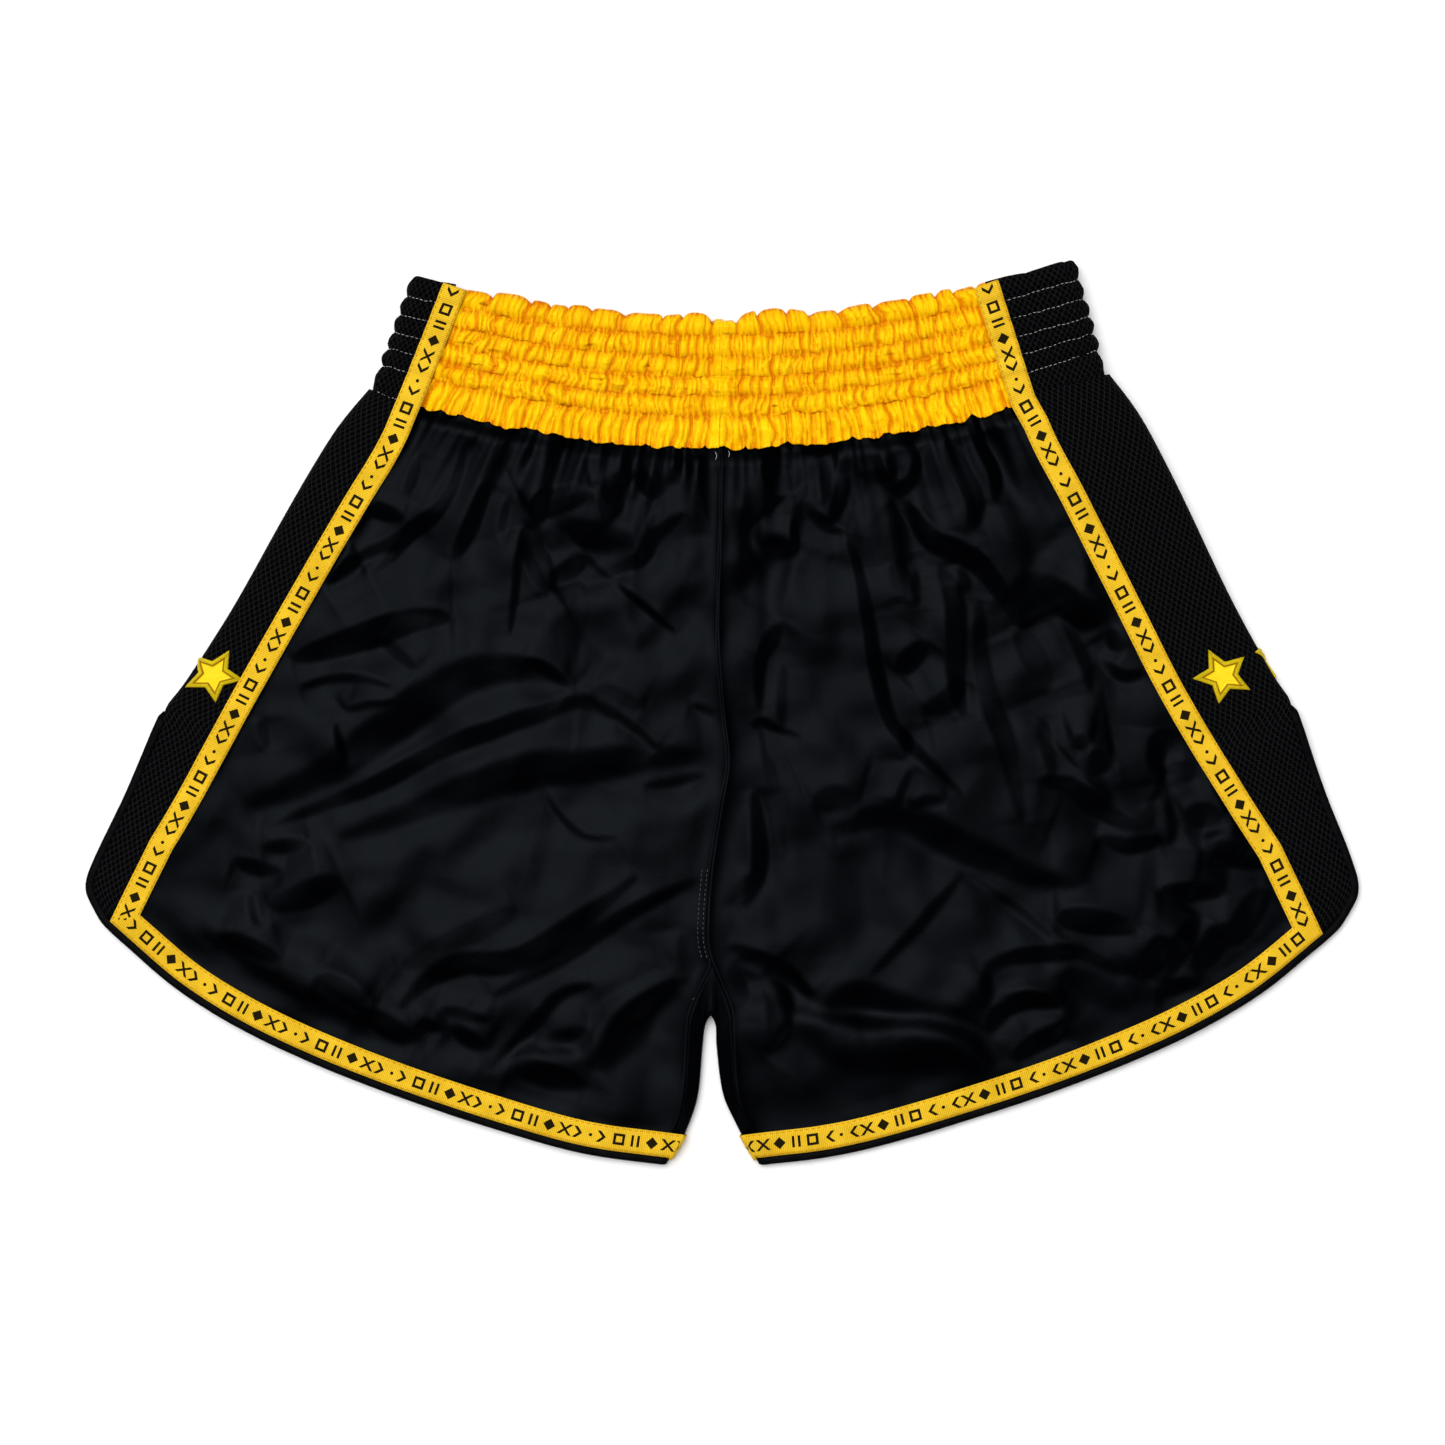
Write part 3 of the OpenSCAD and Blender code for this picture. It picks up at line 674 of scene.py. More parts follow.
def flutes(p, face, level):
    """Gathers of one size that run down from the waistband and die out."""
    size, high, reach = FLUTES[level]
    down = np.maximum(band_low(p[..., 0]) - p[..., 1], 0)
    fan = p[..., 0] / (1 + 0.5 * down / (150 * MM))
    return high * MM * noise(fan, 0.12 * p[..., 1], size * MM, 21 + 3 * level + face) * np.exp(
        -down / (reach * MM))


WIDE = 7                     # creases this wide are pressed in on the coarser cloth


def satin_panel(s, face):
    """The settled grid of one satin panel, from its centre seam to its side seam."""
    edges = panel_edges(s, face)
    n, m = fine((48, 38))
    creases = CREASES_LEFT if (s == LEFT) == (face == FRONT) else CREASES_RIGHT
    rolls = (ROLLS_LEFT if s == LEFT else ROLLS_RIGHT) if face == FRONT else ()
    gain = 1.0 if face == FRONT else 0.3
    moved = np.zeros((n, m, 3))
    for level, rounds in enumerate((50, 30, 20)):
        flat = between(*edges, n, m)
        z = face_z(flat, s, face)
        seam_gap = np.minimum(1, np.arange(m)[None] / (m - 1) * 14)
        below = band_low(flat[..., 0]) - flat[..., 1]
        down = np.maximum(below, 0)
        under = smooth(1 - below / (9 * MM))
        z = z - (2.6 * MM if face == FRONT else -1.5 * MM) * under
        base = at_height(flat, z)
        hem_gap = opening_distance(flat, s)
        line = SEAM[s, face][::-1]
        side_gap = np.abs(flat[..., 0] - np.interp(flat[..., 1], line[:, 1], line[:, 0]))
        held = (hem_gap < 15 * MM) | (side_gap < 6 * MM)
        held[[0, -1]] = True
        held[:, [0, -1]] = True
        free = 1.0 - held
        fade = smooth((hem_gap - 14 * MM) / (8 * MM)) * smooth((side_gap - 5 * MM) / (6 * MM))
        fade *= seam_gap
        real = laid(flat)
        shape = flutes(flat, face, level) * seam_gap * np.maximum(fade, under)
        if level == 0:
            shape += rumple(real, s, face) * fade
        else:
            chosen = [c for c in creases if (c[0] >= WIDE) == (level == 1)]
            shape += crease_height(real * [face, 1], chosen, rolls if level == 1 else ()) * fade
        start = base + moved
        start[..., 2] += gain * shape
        low, high = base[..., 2] - 8 * MM, np.full(base.shape[:-1], 1.0)
        low = np.maximum(low, back_z(flat) + 1.2 * MM if face == FRONT else 0.6 * MM)
        if face == FRONT:
            high = BAND_T - DEEPEST + 7 * MM * smooth(down / (14 * MM))
        start[..., 2] = np.clip(start[..., 2], low, high)
        slack = 0.003 + (0.02 * np.exp(-down[:, 1:] / (22 * MM)) if level == 0 else 0)
        p = settle(start, free, slack, low, high, rounds)
        moved = p - base
        if level < 2:
            moved = finer(soften(moved, 2))
            n, m = 2 * n - 1, 2 * m - 1
    return laid(p)


# ---- Materials ----

class Nodes:
    """Short ways to build a material's node tree."""

    def __init__(self, name, **socket_values):
        self.material = bpy.data.materials.new(name)
        self.material.use_nodes = True
        self.tree = self.material.node_tree
        self.shader = self.tree.nodes["Principled BSDF"]
        for key, value in socket_values.items():
            self.shader.inputs[key.replace("_", " ")].default_value = value

    def put(self, kind, values=None, **settings):
        node = self.tree.nodes.new("ShaderNode" + kind)
        for key, value in settings.items():
            setattr(node, key, value)
        for key, value in (values or {}).items():
            if isinstance(value, bpy.types.NodeSocket):
                self.tree.links.new(value, node.inputs[key])
            else:
                node.inputs[key].default_value = value
        return node

    def math(self, how, a, b=0.0, c=0.0):
        return self.put("Math", {0: a, 1: b, 2: c}, operation=how).outputs[0]

    def wave(self, x, pitch):
        return self.math("SINE", self.math("MULTIPLY", x, 2 * math.pi / pitch))

    def size(self, x):
        return self.math("ABSOLUTE", x)

    def gap(self, a, b):
        """How far a is from b, without sign."""
        return self.size(self.math("SUBTRACT", a, b))

    def both(self, a, b):
        return self.math("MULTIPLY", a, b)

    def below(self, a, b):
        return self.math("LESS_THAN", a, b)

    def split(self, vector):
        """The first two parts of a vector."""
        return self.put("SeparateXYZ", {0: vector}).outputs[:2]

    def uv(self):
        return self.split(self.put("TexCoord").outputs["UV"])

    def place(self):
        return self.put("TexCoord").outputs["Object"]

    def noise(self, scale, detail=2.0, vector=None, rough=0.5):
        values = {"Scale": scale, "Detail": detail, "Roughness": rough}
        values["Vector"] = vector if vector is not None else self.place()
        return self.put("TexNoise", values).outputs[0]

    def ramp(self, value, stops):
        node = self.put("ValToRGB", {0: value})
        ramp = node.color_ramp
        while len(ramp.elements) < len(stops):
            ramp.elements.new(0.5)
        for element, (at, colour) in zip(ramp.elements, stops):
            element.position = at
            element.color = (*colour, 1)
        return node.outputs[0]

    def range(self, value, low, high, a=0.0, b=1.0):
        return self.put("MapRange", {0: value, 1: low, 2: high, 3: a, 4: b}).outputs[0]

    def blend(self, share, a, b):
        node = self.put("Mix", data_type="RGBA")
        for key, value in ((0, share), (6, a), (7, b)):
            if isinstance(value, bpy.types.NodeSocket):
                self.tree.links.new(value, node.inputs[key])
            else:
                node.inputs[key].default_value = value if key == 0 else (*value, 1)
        return node.outputs[2]

    def set(self, key, value):
        self.tree.links.new(value, self.shader.inputs[key])

    def bump(self, height, distance, strength=1.0, under=None):
        values = {"Height": height, "Distance": distance, "Strength": strength}
        if under is not None:
            values["Normal"] = under
        return self.put("Bump", values).outputs[0]


def weave(n, u, v, pitch):
    """Threads that cross: a height from 0 to 1 with the given pitch in metres."""
    return n.math("MULTIPLY_ADD", n.both(n.wave(u, pitch), n.wave(v, pitch)), 0.5, 0.5)


def satin_black():
    n = Nodes("satin_black", Roughness=0.36, Anisotropic=0.3, Specular_IOR_Level=0.031,
              Specular_Tint=(0.72, 0.84, 1.0, 1.0))
    u, v = n.uv()
    cloud = n.noise(28.0, 3.0)
    n.set("Base Color", n.ramp(cloud, [(0.3, (0.0001, 0.00015, 0.0003)),
                                       (0.7, (0.0003, 0.0004, 0.0008))]))
    lint = n.noise(900.0, 2.0)
    n.set("Roughness", n.range(n.math("ADD", cloud, n.math("MULTIPLY", lint, 0.4)), 0.5, 1.0,
                               0.26, 0.34))
    crumple = n.bump(n.noise(90.0, 3.0, rough=0.45), 0.0004, 0.4)
    n.set("Normal", n.bump(weave(n, u, v, 0.0007), 0.00004, 0.5, crumple))
    return n.material


def satin_yellow():
    n = Nodes("satin_yellow", Roughness=0.28, Anisotropic=0.3, Specular_IOR_Level=0.7,
              Specular_Tint=(1.0, 0.74, 0.02, 1.0))
    u, v = n.uv()
    cloud = n.noise(60.0, 3.0)
    light = n.ramp(cloud, [(0.3, (0.93, 0.465, 0.001)), (0.7, (0.98, 0.565, 0.003))])
    # Painted shade: the dip attribute blends the lit colour towards a dark orange in the pleats'
    # valleys and along the stitch rows.
    dip = n.put("Attribute", attribute_name="dip").outputs["Fac"]
    n.set("Base Color", n.blend(n.range(dip, 0.22, 0.88, 0.0, 1.0), light, (0.62, 0.15, 0.0002)))
    stretched = n.put("CombineXYZ", {0: n.math("MULTIPLY", u, 900.0),
                                     1: n.math("MULTIPLY", v, 160.0), 2: 0.0}).outputs[0]
    crimp = n.bump(n.noise(1.0, 3.0, stretched), 0.0008, 0.8)
    n.set("Normal", n.bump(weave(n, u, v, 0.0006), 0.00003, 0.4, crimp))
    return n.material


def mesh_black():
    """Spacer mesh: a black net of hexagon holes; the back layer seen through the holes is painted
    near-black, as painted shade inside them.
    """
    n = Nodes("mesh_black", Roughness=0.7, Specular_IOR_Level=0.02)
    u, v = n.uv()
    wide, tall, roundness = 0.0030, 0.0044, 1.35

    def from_middle(at, pitch, shift):
        share = n.math("FRACT", n.math("ADD", n.math("DIVIDE", at, pitch), shift))
        return n.math("POWER", n.gap(share, 0.5), roundness)

    holes = [n.math("ADD", from_middle(u, wide, shift), from_middle(v, tall, shift))
             for shift in (0.0, 0.5)]
    net = n.range(n.math("MINIMUM", *holes), 0.13, 0.24)
    fibre = n.noise(1500.0, 2.0)
    thread = n.ramp(n.math("MULTIPLY", fibre, net), [(0.1, (0.0010, 0.0010, 0.0012)),
                                                      (0.7, (0.0080, 0.0083, 0.0095))])
    # Painted shade: the holes get a near-black colour for the shade inside them.
    n.set("Base Color", n.blend(net, (0.0002, 0.0002, 0.0002), thread))
    n.set("Normal", n.bump(n.math("ADD", net, n.math("MULTIPLY", fibre, 0.35)), 0.0007, 0.9))
    return n.material


# The tape's row of plain figures and where their middles are, in mm.
FIGURES = (("chevron", 4.0), ("box", 12.2), ("bars", 20.4), ("diamond", 28.8), ("cross", 37.0),
           ("chevron", 44.4), ("dot", 50.2))
FIGURES_EVERY = 52.5
FIGURE_HALF = 2.9


def figure(n, kind, x, y):
    """1 inside a figure, 0 outside; x in mm from its middle, y in mm without sign."""
    if kind == "chevron":
        return n.both(n.below(n.gap(n.math("ADD", x, y), 0.6), 0.95), n.below(y, FIGURE_HALF))
    if kind == "box":
        far = n.math("MAXIMUM", n.size(x), y)
        return n.both(n.below(far, FIGURE_HALF), n.math("GREATER_THAN", far, 1.55))
    if kind == "bars":
        return n.both(n.below(n.gap(n.size(x), 1.5), 0.65), n.below(y, FIGURE_HALF))
    if kind == "diamond":
        return n.below(n.math("ADD", n.size(x), y), 3.1)
    if kind == "cross":
        return n.both(n.below(n.gap(n.size(x), y), 0.85), n.below(y, FIGURE_HALF))
    return n.below(n.math("SQRT", n.math("ADD", n.both(x, x), n.both(y, y))), 0.85)


def tape_yellow():
    """Woven tape: fine ribs across and a row of plain figures."""
    n = Nodes("tape_yellow", Roughness=0.6, Specular_IOR_Level=0.04,
              Specular_Tint=(1.0, 0.80, 0.2, 1.0))
    u, v = n.uv()
    rib, warp = n.wave(u, 0.00095), n.wave(v, 0.0008)
    cloth = n.math("MULTIPLY_ADD", n.both(rib, n.math("MULTIPLY_ADD", warp, 0.3, 0.7)), 0.5, 0.5)
    uneven = n.math("ADD", n.both(cloth, 0.5), n.both(n.noise(90.0), 0.5))
    base = n.ramp(uneven, [(0.2, (0.54, 0.31, 0.008)), (0.8, (0.98, 0.62, 0.032))])
    along_row = n.both(n.math("FRACT", n.math("DIVIDE", u, FIGURES_EVERY * MM)), FIGURES_EVERY)
    y = n.size(n.math("DIVIDE", v, MM))
    ink = 0.0
    for kind, middle in FIGURES:
        ink = n.math("MAXIMUM", ink, figure(n, kind, n.math("SUBTRACT", along_row, middle), y))
    n.set("Base Color", n.blend(n.both(ink, 0.99), base, (0.004, 0.0035, 0.003)))
    n.set("Normal", n.bump(n.math("ADD", cloth, n.both(ink, 0.6)), 0.00014, 0.8))
    return n.material


def binding_black():
    n = Nodes("binding_black", Roughness=0.5, Specular_IOR_Level=0.025)
    u, v = n.uv()
    n.set("Base Color", n.ramp(n.noise(200.0, 3.0), [(0.3, (0.0008, 0.0009, 0.0012)),
                                                    (0.7, (0.0022, 0.0024, 0.0030))]))
    pucker = n.bump(n.noise(320.0, 3.0), 0.0006, 0.6)
    n.set("Normal", n.bump(weave(n, u, v, 0.0008), 0.00005, 0.5, pucker))
    return n.material


def elastic():
    n = Nodes("elastic", Roughness=0.75, Sheen_Weight=0.3)
    rib = n.put("TexWave", {"Vector": n.place(), "Scale": 260.0, "Distortion": 0.6},
                bands_direction="Y").outputs[1]
    n.set("Base Color", n.ramp(rib, [(0.2, (0.55, 0.53, 0.49)), (0.8, (0.80, 0.78, 0.73))]))
    n.set("Normal", n.bump(rib, 0.0002, 0.7))
    return n.material


def patch_yellow():
    """Embroidered star: u runs along the stitches' row, v from the edge (0) inwards."""
    n = Nodes("patch_yellow", Roughness=0.45, Specular_IOR_Level=0.25,
              Specular_Tint=(1.0, 0.85, 0.35, 1.0))
    u, v = n.uv()
    border = n.below(v, 0.0019)
    outline = n.below(n.gap(v, 0.0020), 0.00035)
    thread = n.wave(u, 0.00052)
    fine_weave = weave(n, *n.split(n.place()), 0.0007)
    uneven = n.math("ADD", n.both(fine_weave, 0.4), n.both(n.noise(120.0), 0.6))
    base = n.ramp(uneven, [(0.25, (0.88, 0.58, 0.006)), (0.75, (1.0, 0.73, 0.012))])
    rim = n.ramp(n.math("MULTIPLY_ADD", thread, 0.5, 0.5), [(0.1, (0.86, 0.56, 0.006)),
                                                            (0.8, (1.0, 0.78, 0.016))])
    n.set("Base Color", n.blend(outline, n.blend(border, base, rim), (0.36, 0.19, 0.002)))
    relief = n.math("ADD", n.both(thread, border), n.both(fine_weave, 0.5))
    n.set("Normal", n.bump(relief, 0.00018, 0.8))
    return n.material


def thread_material(name, colour, dark):
    n = Nodes(name, Roughness=0.7, Specular_IOR_Level=0.1)
    n.set("Base Color", n.ramp(n.noise(2500.0), [(0.3, dark), (0.7, colour)]))
    n.set("Normal", n.bump(n.noise(4000.0), 0.0001, 0.6))
    return n.material


M = {make_it.__name__: make_it() for make_it in
     (satin_black, satin_yellow, mesh_black, tape_yellow, binding_black, elastic, patch_yellow)}
THREAD_YELLOW = thread_material("thread_yellow", (0.76, 0.35, 0.002), (0.55, 0.20, 0.001))
THREAD_GREY = thread_material("thread_grey", (0.11, 0.11, 0.12), (0.04, 0.04, 0.045))
THREAD_WHITE = thread_material("thread_white", (0.62, 0.62, 0.60), (0.30, 0.30, 0.30))


# ---- Satin panels ----

PANELS = {}
for face_name, face in FACES.items():
    for side_name, s in SIDES.items():
        name = f"{face_name}_panel_{side_name}"
        points = satin_panel(s, face)
        PANELS[s, face] = points
        panel = make("satin_" + name, points, grid_faces(*points.shape[:2]), measure_uv(points),
                     flip=(s == LEFT) == (face == FRONT))
        thicken(panel, CLOTH_T)
        finish_piece(panel, M["satin_black"], [name])


# ---- Floor, lights, camera ----

# Brightness of the surroundings, by the cosine of the angle to the soft light's middle.
SKY = [(0.0, 0.12), (0.15, 0.06), (0.30, 0.01), (0.66, 0.01), (0.84, 0.42), (0.96, 1.05)]
LAMPS = (("key", (-0.5, 0.6, 2.7), 1.4, 26), ("rim", (1.6, -1.5, 1.6), 0.8, 3))
PHOTO_WIDTH = 722.5 * MM     # across the photograph, at the camera's distance
PHOTO_MIDDLE = (0.25 * MM, -4.25 * MM)


def studio():
    """A pale floor, soft light and a camera straight above."""
    floor = make("floor", np.array([[[-9, 9, 0], [9, 9, 0]], [[-9, -9, 0], [9, -9, 0]]], float),
                 grid_faces(2, 2))
    n = Nodes("floor", Roughness=0.9)
    n.set("Base Color", n.ramp(n.noise(3.0), [(0.3, (0.93, 0.93, 0.93)),
                                              (0.7, (0.95, 0.95, 0.95))]))
    floor.data.materials.append(n.material)
    floor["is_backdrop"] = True
    world = bpy.data.worlds.new("studio")
    world.use_nodes = True
    tree = world.node_tree
    sky = tree.nodes["Background"]
    where = tree.nodes.new("ShaderNodeTexCoord")
    facing = tree.nodes.new("ShaderNodeVectorMath")
    facing.operation = "DOT_PRODUCT"
    facing.inputs[1].default_value = Vector((-0.22, 0.30, 1.0)).normalized()
    glow = tree.nodes.new("ShaderNodeValToRGB")
    tree.links.new(where.outputs["Generated"], facing.inputs[0])
    tree.links.new(facing.outputs["Value"], glow.inputs[0])
    ramp = glow.color_ramp
    while len(ramp.elements) < len(SKY):
        ramp.elements.new(0.5)
    for element, (at, value) in zip(ramp.elements, SKY):
        element.position = at
        element.color = (value, value, value, 1)
    seen = tree.nodes.new("ShaderNodeLightPath").outputs["Is Camera Ray"]
    pale = tree.nodes.new("ShaderNodeMixRGB")
    pale.inputs["Color2"].default_value = (0.3, 0.3, 0.3, 1)
    tree.links.new(seen, pale.inputs["Fac"])
    tree.links.new(glow.outputs[0], pale.inputs["Color1"])
    tree.links.new(pale.outputs[0], sky.inputs[0])
    sky.inputs[1].default_value = 3.0
    bpy.context.scene.world = world
    for name, at, size, power in LAMPS:
        light = bpy.data.lights.new(name, "AREA")
        light.energy, light.size = power, size
        lamp = bpy.data.objects.new(name, light)
        lamp.location = at
        lamp.rotation_euler = (-Vector(at)).to_track_quat("-Z", "Y").to_euler()
        bpy.context.scene.collection.objects.link(lamp)
    eye = bpy.data.cameras.new("camera")
    eye.lens, eye.sensor_width = 85, 36
    camera = bpy.data.objects.new("camera", eye)
    camera.location = (*PHOTO_MIDDLE, BAND_T / 2 + PHOTO_WIDTH * eye.lens / eye.sensor_width)
    bpy.context.scene.collection.objects.link(camera)
    bpy.context.scene.camera = camera
    bpy.context.scene.view_settings.view_transform = "Standard"


# ---- Waistband ----

def cells(w, seed, small, large):
    """Random pleats along w: each point's share of its pleat, and a number for the pleat."""
    rng = np.random.default_rng(seed)
    low, high = w.min() - large, w.max() + large
    edges = low + np.cumsum(rng.uniform(small, large, int((high - low) / small) + 4))
    which = np.clip(np.searchsorted(edges, w), 1, len(edges) - 1)
    share = np.clip((w - edges[which - 1]) / (edges[which] - edges[which - 1]), 0, 1)
    skew = rng.uniform(0.65, 1.55, len(edges))[which]
    return share ** skew, rng.random(len(edges))[which]


def pillow(w, seed, small, large, sharp=3.4):
    """0 in the valleys between pleats, up to 1 on their crests."""
    share, size = cells(w, seed, small, large)
    return (0.55 + 0.45 * size) * (1 - np.abs(2 * share - 1) ** sharp)


def band_points(s, top_x, low_x, turn, v, depth, rise):
    x = mix(top_x, low_x, v)
    r = BAND_R - depth
    x = x + s * r * np.sin(turn)
    y = mix(band_top(x), band_low(x), v) + rise
    return laid(np.stack([x, y, BAND_MID + r * np.cos(turn)], -1))


# How each row of the band is gathered: the smallest and largest pleat and the depth, in mm.
ROWS = [(7.0, 19.0, 2.6), (3.0, 9.0, 2.6), (3.0, 9.0, 2.5), (3.5, 10.0, 2.3), (3.0, 9.0, 2.6),
        (4.0, 11.0, 2.6)]
STRIP_W = 3.8 * MM           # a flat strip each side of the centre seam
STRAP_DEPTH = 4.9 * MM       # of the top elastic, between the pleats and the lining
STITCH_ROWS = {}             # for each piece, lines of points with their outward vectors
STRAP_PARTS = {}


def band_piece(name, s, columns, seed, soft, slot):
    """A gathered tube with six channels. soft is 1 for satin, less for stiff mesh."""
    top_x, low_x, turn = columns
    satin, front, last_row = soft == 1, turn[0] < 1, len(ROWS) - 1
    run = np.concatenate([[0], np.cumsum(np.hypot(np.diff(top_x), BAND_R * np.diff(turn)))])
    calm = 1 - (0.55 * np.exp(-(run / STRIP_W) ** 6) if satin else 0)
    stretch = 1 if satin else 1.15

    def drift(at, size, key):
        return noise(run, at, size * MM, seed + key)

    def pleats(where, key, small, large, sharp):
        return pillow(where, seed + key, small * MM, large * MM, sharp)

    outer, shades, seams = [], [], []
    for k, (small, large, deep) in enumerate(ROWS):
        for f in np.arange(fine(13)) / fine(13):
            v = mix(ROW_AT[k], ROW_AT[k + 1], f)
            bow = math.sin(math.pi * f)
            lean = run + 1.1 * MM * drift(v * BAND_H, 14, 3)
            lean += (f - 0.5) * 1.6 * MM * drift(0, 9, 40 + k)
            lean += 1.7 * MM * bow * drift(0, 6, 50 + k)
            broad = pleats(lean, 10 * k, small * stretch, large * stretch, 5)
            near = pleats(lean, 10 * k + 5, 1.7, 5.0, 3.6)
            pucker = pleats(run, 10 * (k + round(f)) + 4, 1.5, 3.6, 2.6)
            belly = bow ** 0.8
            knot = (1 - belly) ** 1.5
            dip = ((1 - broad) * deep * (0.3 + 0.7 * belly) + (1 - near) * 1.7 * (0.4 + 0.6 * belly)
                   + (1 - pucker) * 2.4 * knot) * soft * calm
            # shade is painted shade: darker in the pleats' valleys and in the puckers at the stitch
            # rows, with a random tone on top.
            shade = (2.3 * (1 - broad) ** 2 + 2.1 * (1 - near) ** 2 * (0.4 + 0.6 * broad)
                     + 2.2 * (1 - pucker) * knot + 0.3 + 0.4 * drift(v * BAND_H, 10, 60)) * calm
            uneven = 0.8 + 0.35 * drift(k, 13, 2) * satin
            roll = (2.5 if satin else 3.2) * (1 - bow ** 0.75) * uneven
            if k == last_row and f > 0.5:
                loose = (f - 0.5) * 2
                roll = mix(roll, 0.5, loose ** 0.5)
                dip = dip * (1 + 0.5 * loose)
            rise = 0 * run
            if k == 0 and satin:
                edge_rise = (broad - 0.75) * (3.4 if front else 2.0) + 1.2 * drift(0, 26, 4)
                edge_rise -= 3.4 * np.exp(-(run / (9 * MM)) ** 2)
                if s == RIGHT and front:
                    edge_rise += 2.2 * np.exp(-((run - 24 * MM) / (9 * MM)) ** 2)
                rise += edge_rise * max(0, 1 - 1.6 * v / ROW_AT[1])
            elif k == 0:
                rise += (broad - 0.5) * 0.6 * max(0, 1 - 3 * v / ROW_AT[1])
                rise -= 3 * smooth((turn - 2) / 1.1) * max(0, 1 - 4 * v)
            rise += drift(v, 11, 7) * 0.6 * soft
            rise += drift(k, 5, 9) * soft * calm * (k > 0)
            if satin and not front:
                rise -= 2.0 * max(0, 1 - 4 * v)
            if k == last_row:
                hem = pleats(run, 77, 6, 19, 6)
                rise -= soft * (1.2 * (broad - 0.4) + 2.2 * (hem - 0.6)) * f ** 2 * calm
            outer.append((v, DEEPEST * np.tanh(MM * (roll + dip) / DEEPEST), MM * rise))
            shades.append(shade + 0.12 * roll)
        seams.append(len(outer))
    outer.append((1.0, MM * (0.6 + shades[-1] * 0.5), outer[-1][2]))
    shades.append(shades[-1])
    _, edge_depth, edge_rise = outer[0]
    lining = [(v, LINING + 0.4 * MM * drift(v * BAND_H, 5, 8), edge_rise * max(0, 1 - v * 5))
              for v in np.linspace(0.012, LINING_END, fine(24))]
    fold = [(0.0, mix(edge_depth, LINING, t), edge_rise + 0.7 * MM * math.sin(math.pi * t))
            for t in (0.25, 0.5, 0.75)]
    rows = outer[::-1] + fold + lining
    # Painted shade for every row, with more at the rows' edges from roll; the lining gets a fixed
    # painted shade. It reaches the satin's colour as the dip attribute.
    painted_shade = np.array(shades[::-1] + [shades[0]] * len(fold) + [1.2 + 0 * run] * len(lining))
    grid = np.array([band_points(s, top_x, low_x, turn, *row) for row in rows])
    drop = np.array([row[0] for row in rows])[:, None] * BAND_H
    uv = np.stack(np.broadcast_arrays(run[None], drop), -1)
    obj = make(name, grid, grid_faces(*grid.shape[:2]), uv, flip=(s == RIGHT) == front)
    attribute = obj.data.attributes.new("dip", "FLOAT", "POINT")
    attribute.data.foreach_set("value", (painted_shade.reshape(-1) / 3).astype(np.float32))
    thicken(obj, CLOTH_T)
    STITCH_ROWS[name] = []
    for k in seams[:-1] if satin else seams:
        v, depth, rise = outer[k]
        points = grid[len(outer) - 1 - k]
        raised = band_points(s, top_x, low_x, turn, v, depth - MM, rise)
        STITCH_ROWS[name].append((points, raised - points))
    under = np.minimum(edge_rise, 0) - 1.1 * MM
    STRAP_PARTS[s, (FRONT if front else BACK) if satin else 0] = np.array([
        band_points(s, top_x, low_x, turn, v, STRAP_DEPTH, under * (1 - v / ROW_AT[1]))
        for v in np.linspace(0, 0.92 * ROW_AT[1], 6)])
    finish_piece(obj, M[slot], [name.replace("gathered_", "")])


def seam_run(s, face, n):
    """Places along a quarter of the waistband, at its top and at its lower edge."""
    return [np.linspace(centre_x(face), seam_x(s, face, v), n) for v in (0, 1)]


def side_run(s, v, end, n):
    """Places from the front seam, round the fold, to the back seam."""
    return np.concatenate([np.linspace(seam_x(s, FRONT, v), end, n), np.full(n, end),
                           np.linspace(end, seam_x(s, BACK, v), n)])


for face_name, face in FACES.items():
    for side_name, s in SIDES.items():
        turn = np.full(fine(250), 0.0 if face == FRONT else math.pi)
        band_piece(f"gathered_waistband_{face_name}_{side_name}", s,
                   (*seam_run(s, face, len(turn)), turn), 400 + 90 * s + 37 * face, 1,
                   "satin_yellow")
for side_name, s in SIDES.items():
    n = fine(60)
    parts = [side_run(s, v, s * (out - BAND_R), n) for v, out in enumerate((SIDE_TOP, SIDE_LOW))]
    turn = np.concatenate([np.zeros(n), np.linspace(0, math.pi, n + 2)[1:-1], np.full(n, math.pi)])
    band_piece(f"gathered_waistband_side_{side_name}", s, (*parts, turn), 700 + s, 0.55,
               "mesh_black")


# ---- Elastics ----

def top_strap():
    """The first elastic follows the scalloped edge; the others keep their CAD shape."""
    right, left = ([STRAP_PARTS[s, part] for part in (FRONT, 0, BACK)] for s in (RIGHT, LEFT))
    loop = [right[0], right[1], right[2][:, ::-1], left[2], left[1][:, ::-1], left[0][:, ::-1]]
    points = np.concatenate([part[:, :-1] for part in loop] + [loop[0][:, :1]], axis=1)
    strap = make("elastic_loop_top", points, grid_faces(*points.shape[:2]), measure_uv(points))
    thicken(strap, 0.3 * MM, 0)
    finish_piece(strap, M["elastic"], ["elastic_strap_1"])


top_strap()
for i in range(2, 7):
    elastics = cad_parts[f"elastic_strap_{i}"].data.materials
    elastics.clear()
    elastics.append(M["elastic"])


# ---- Mesh side panels ----

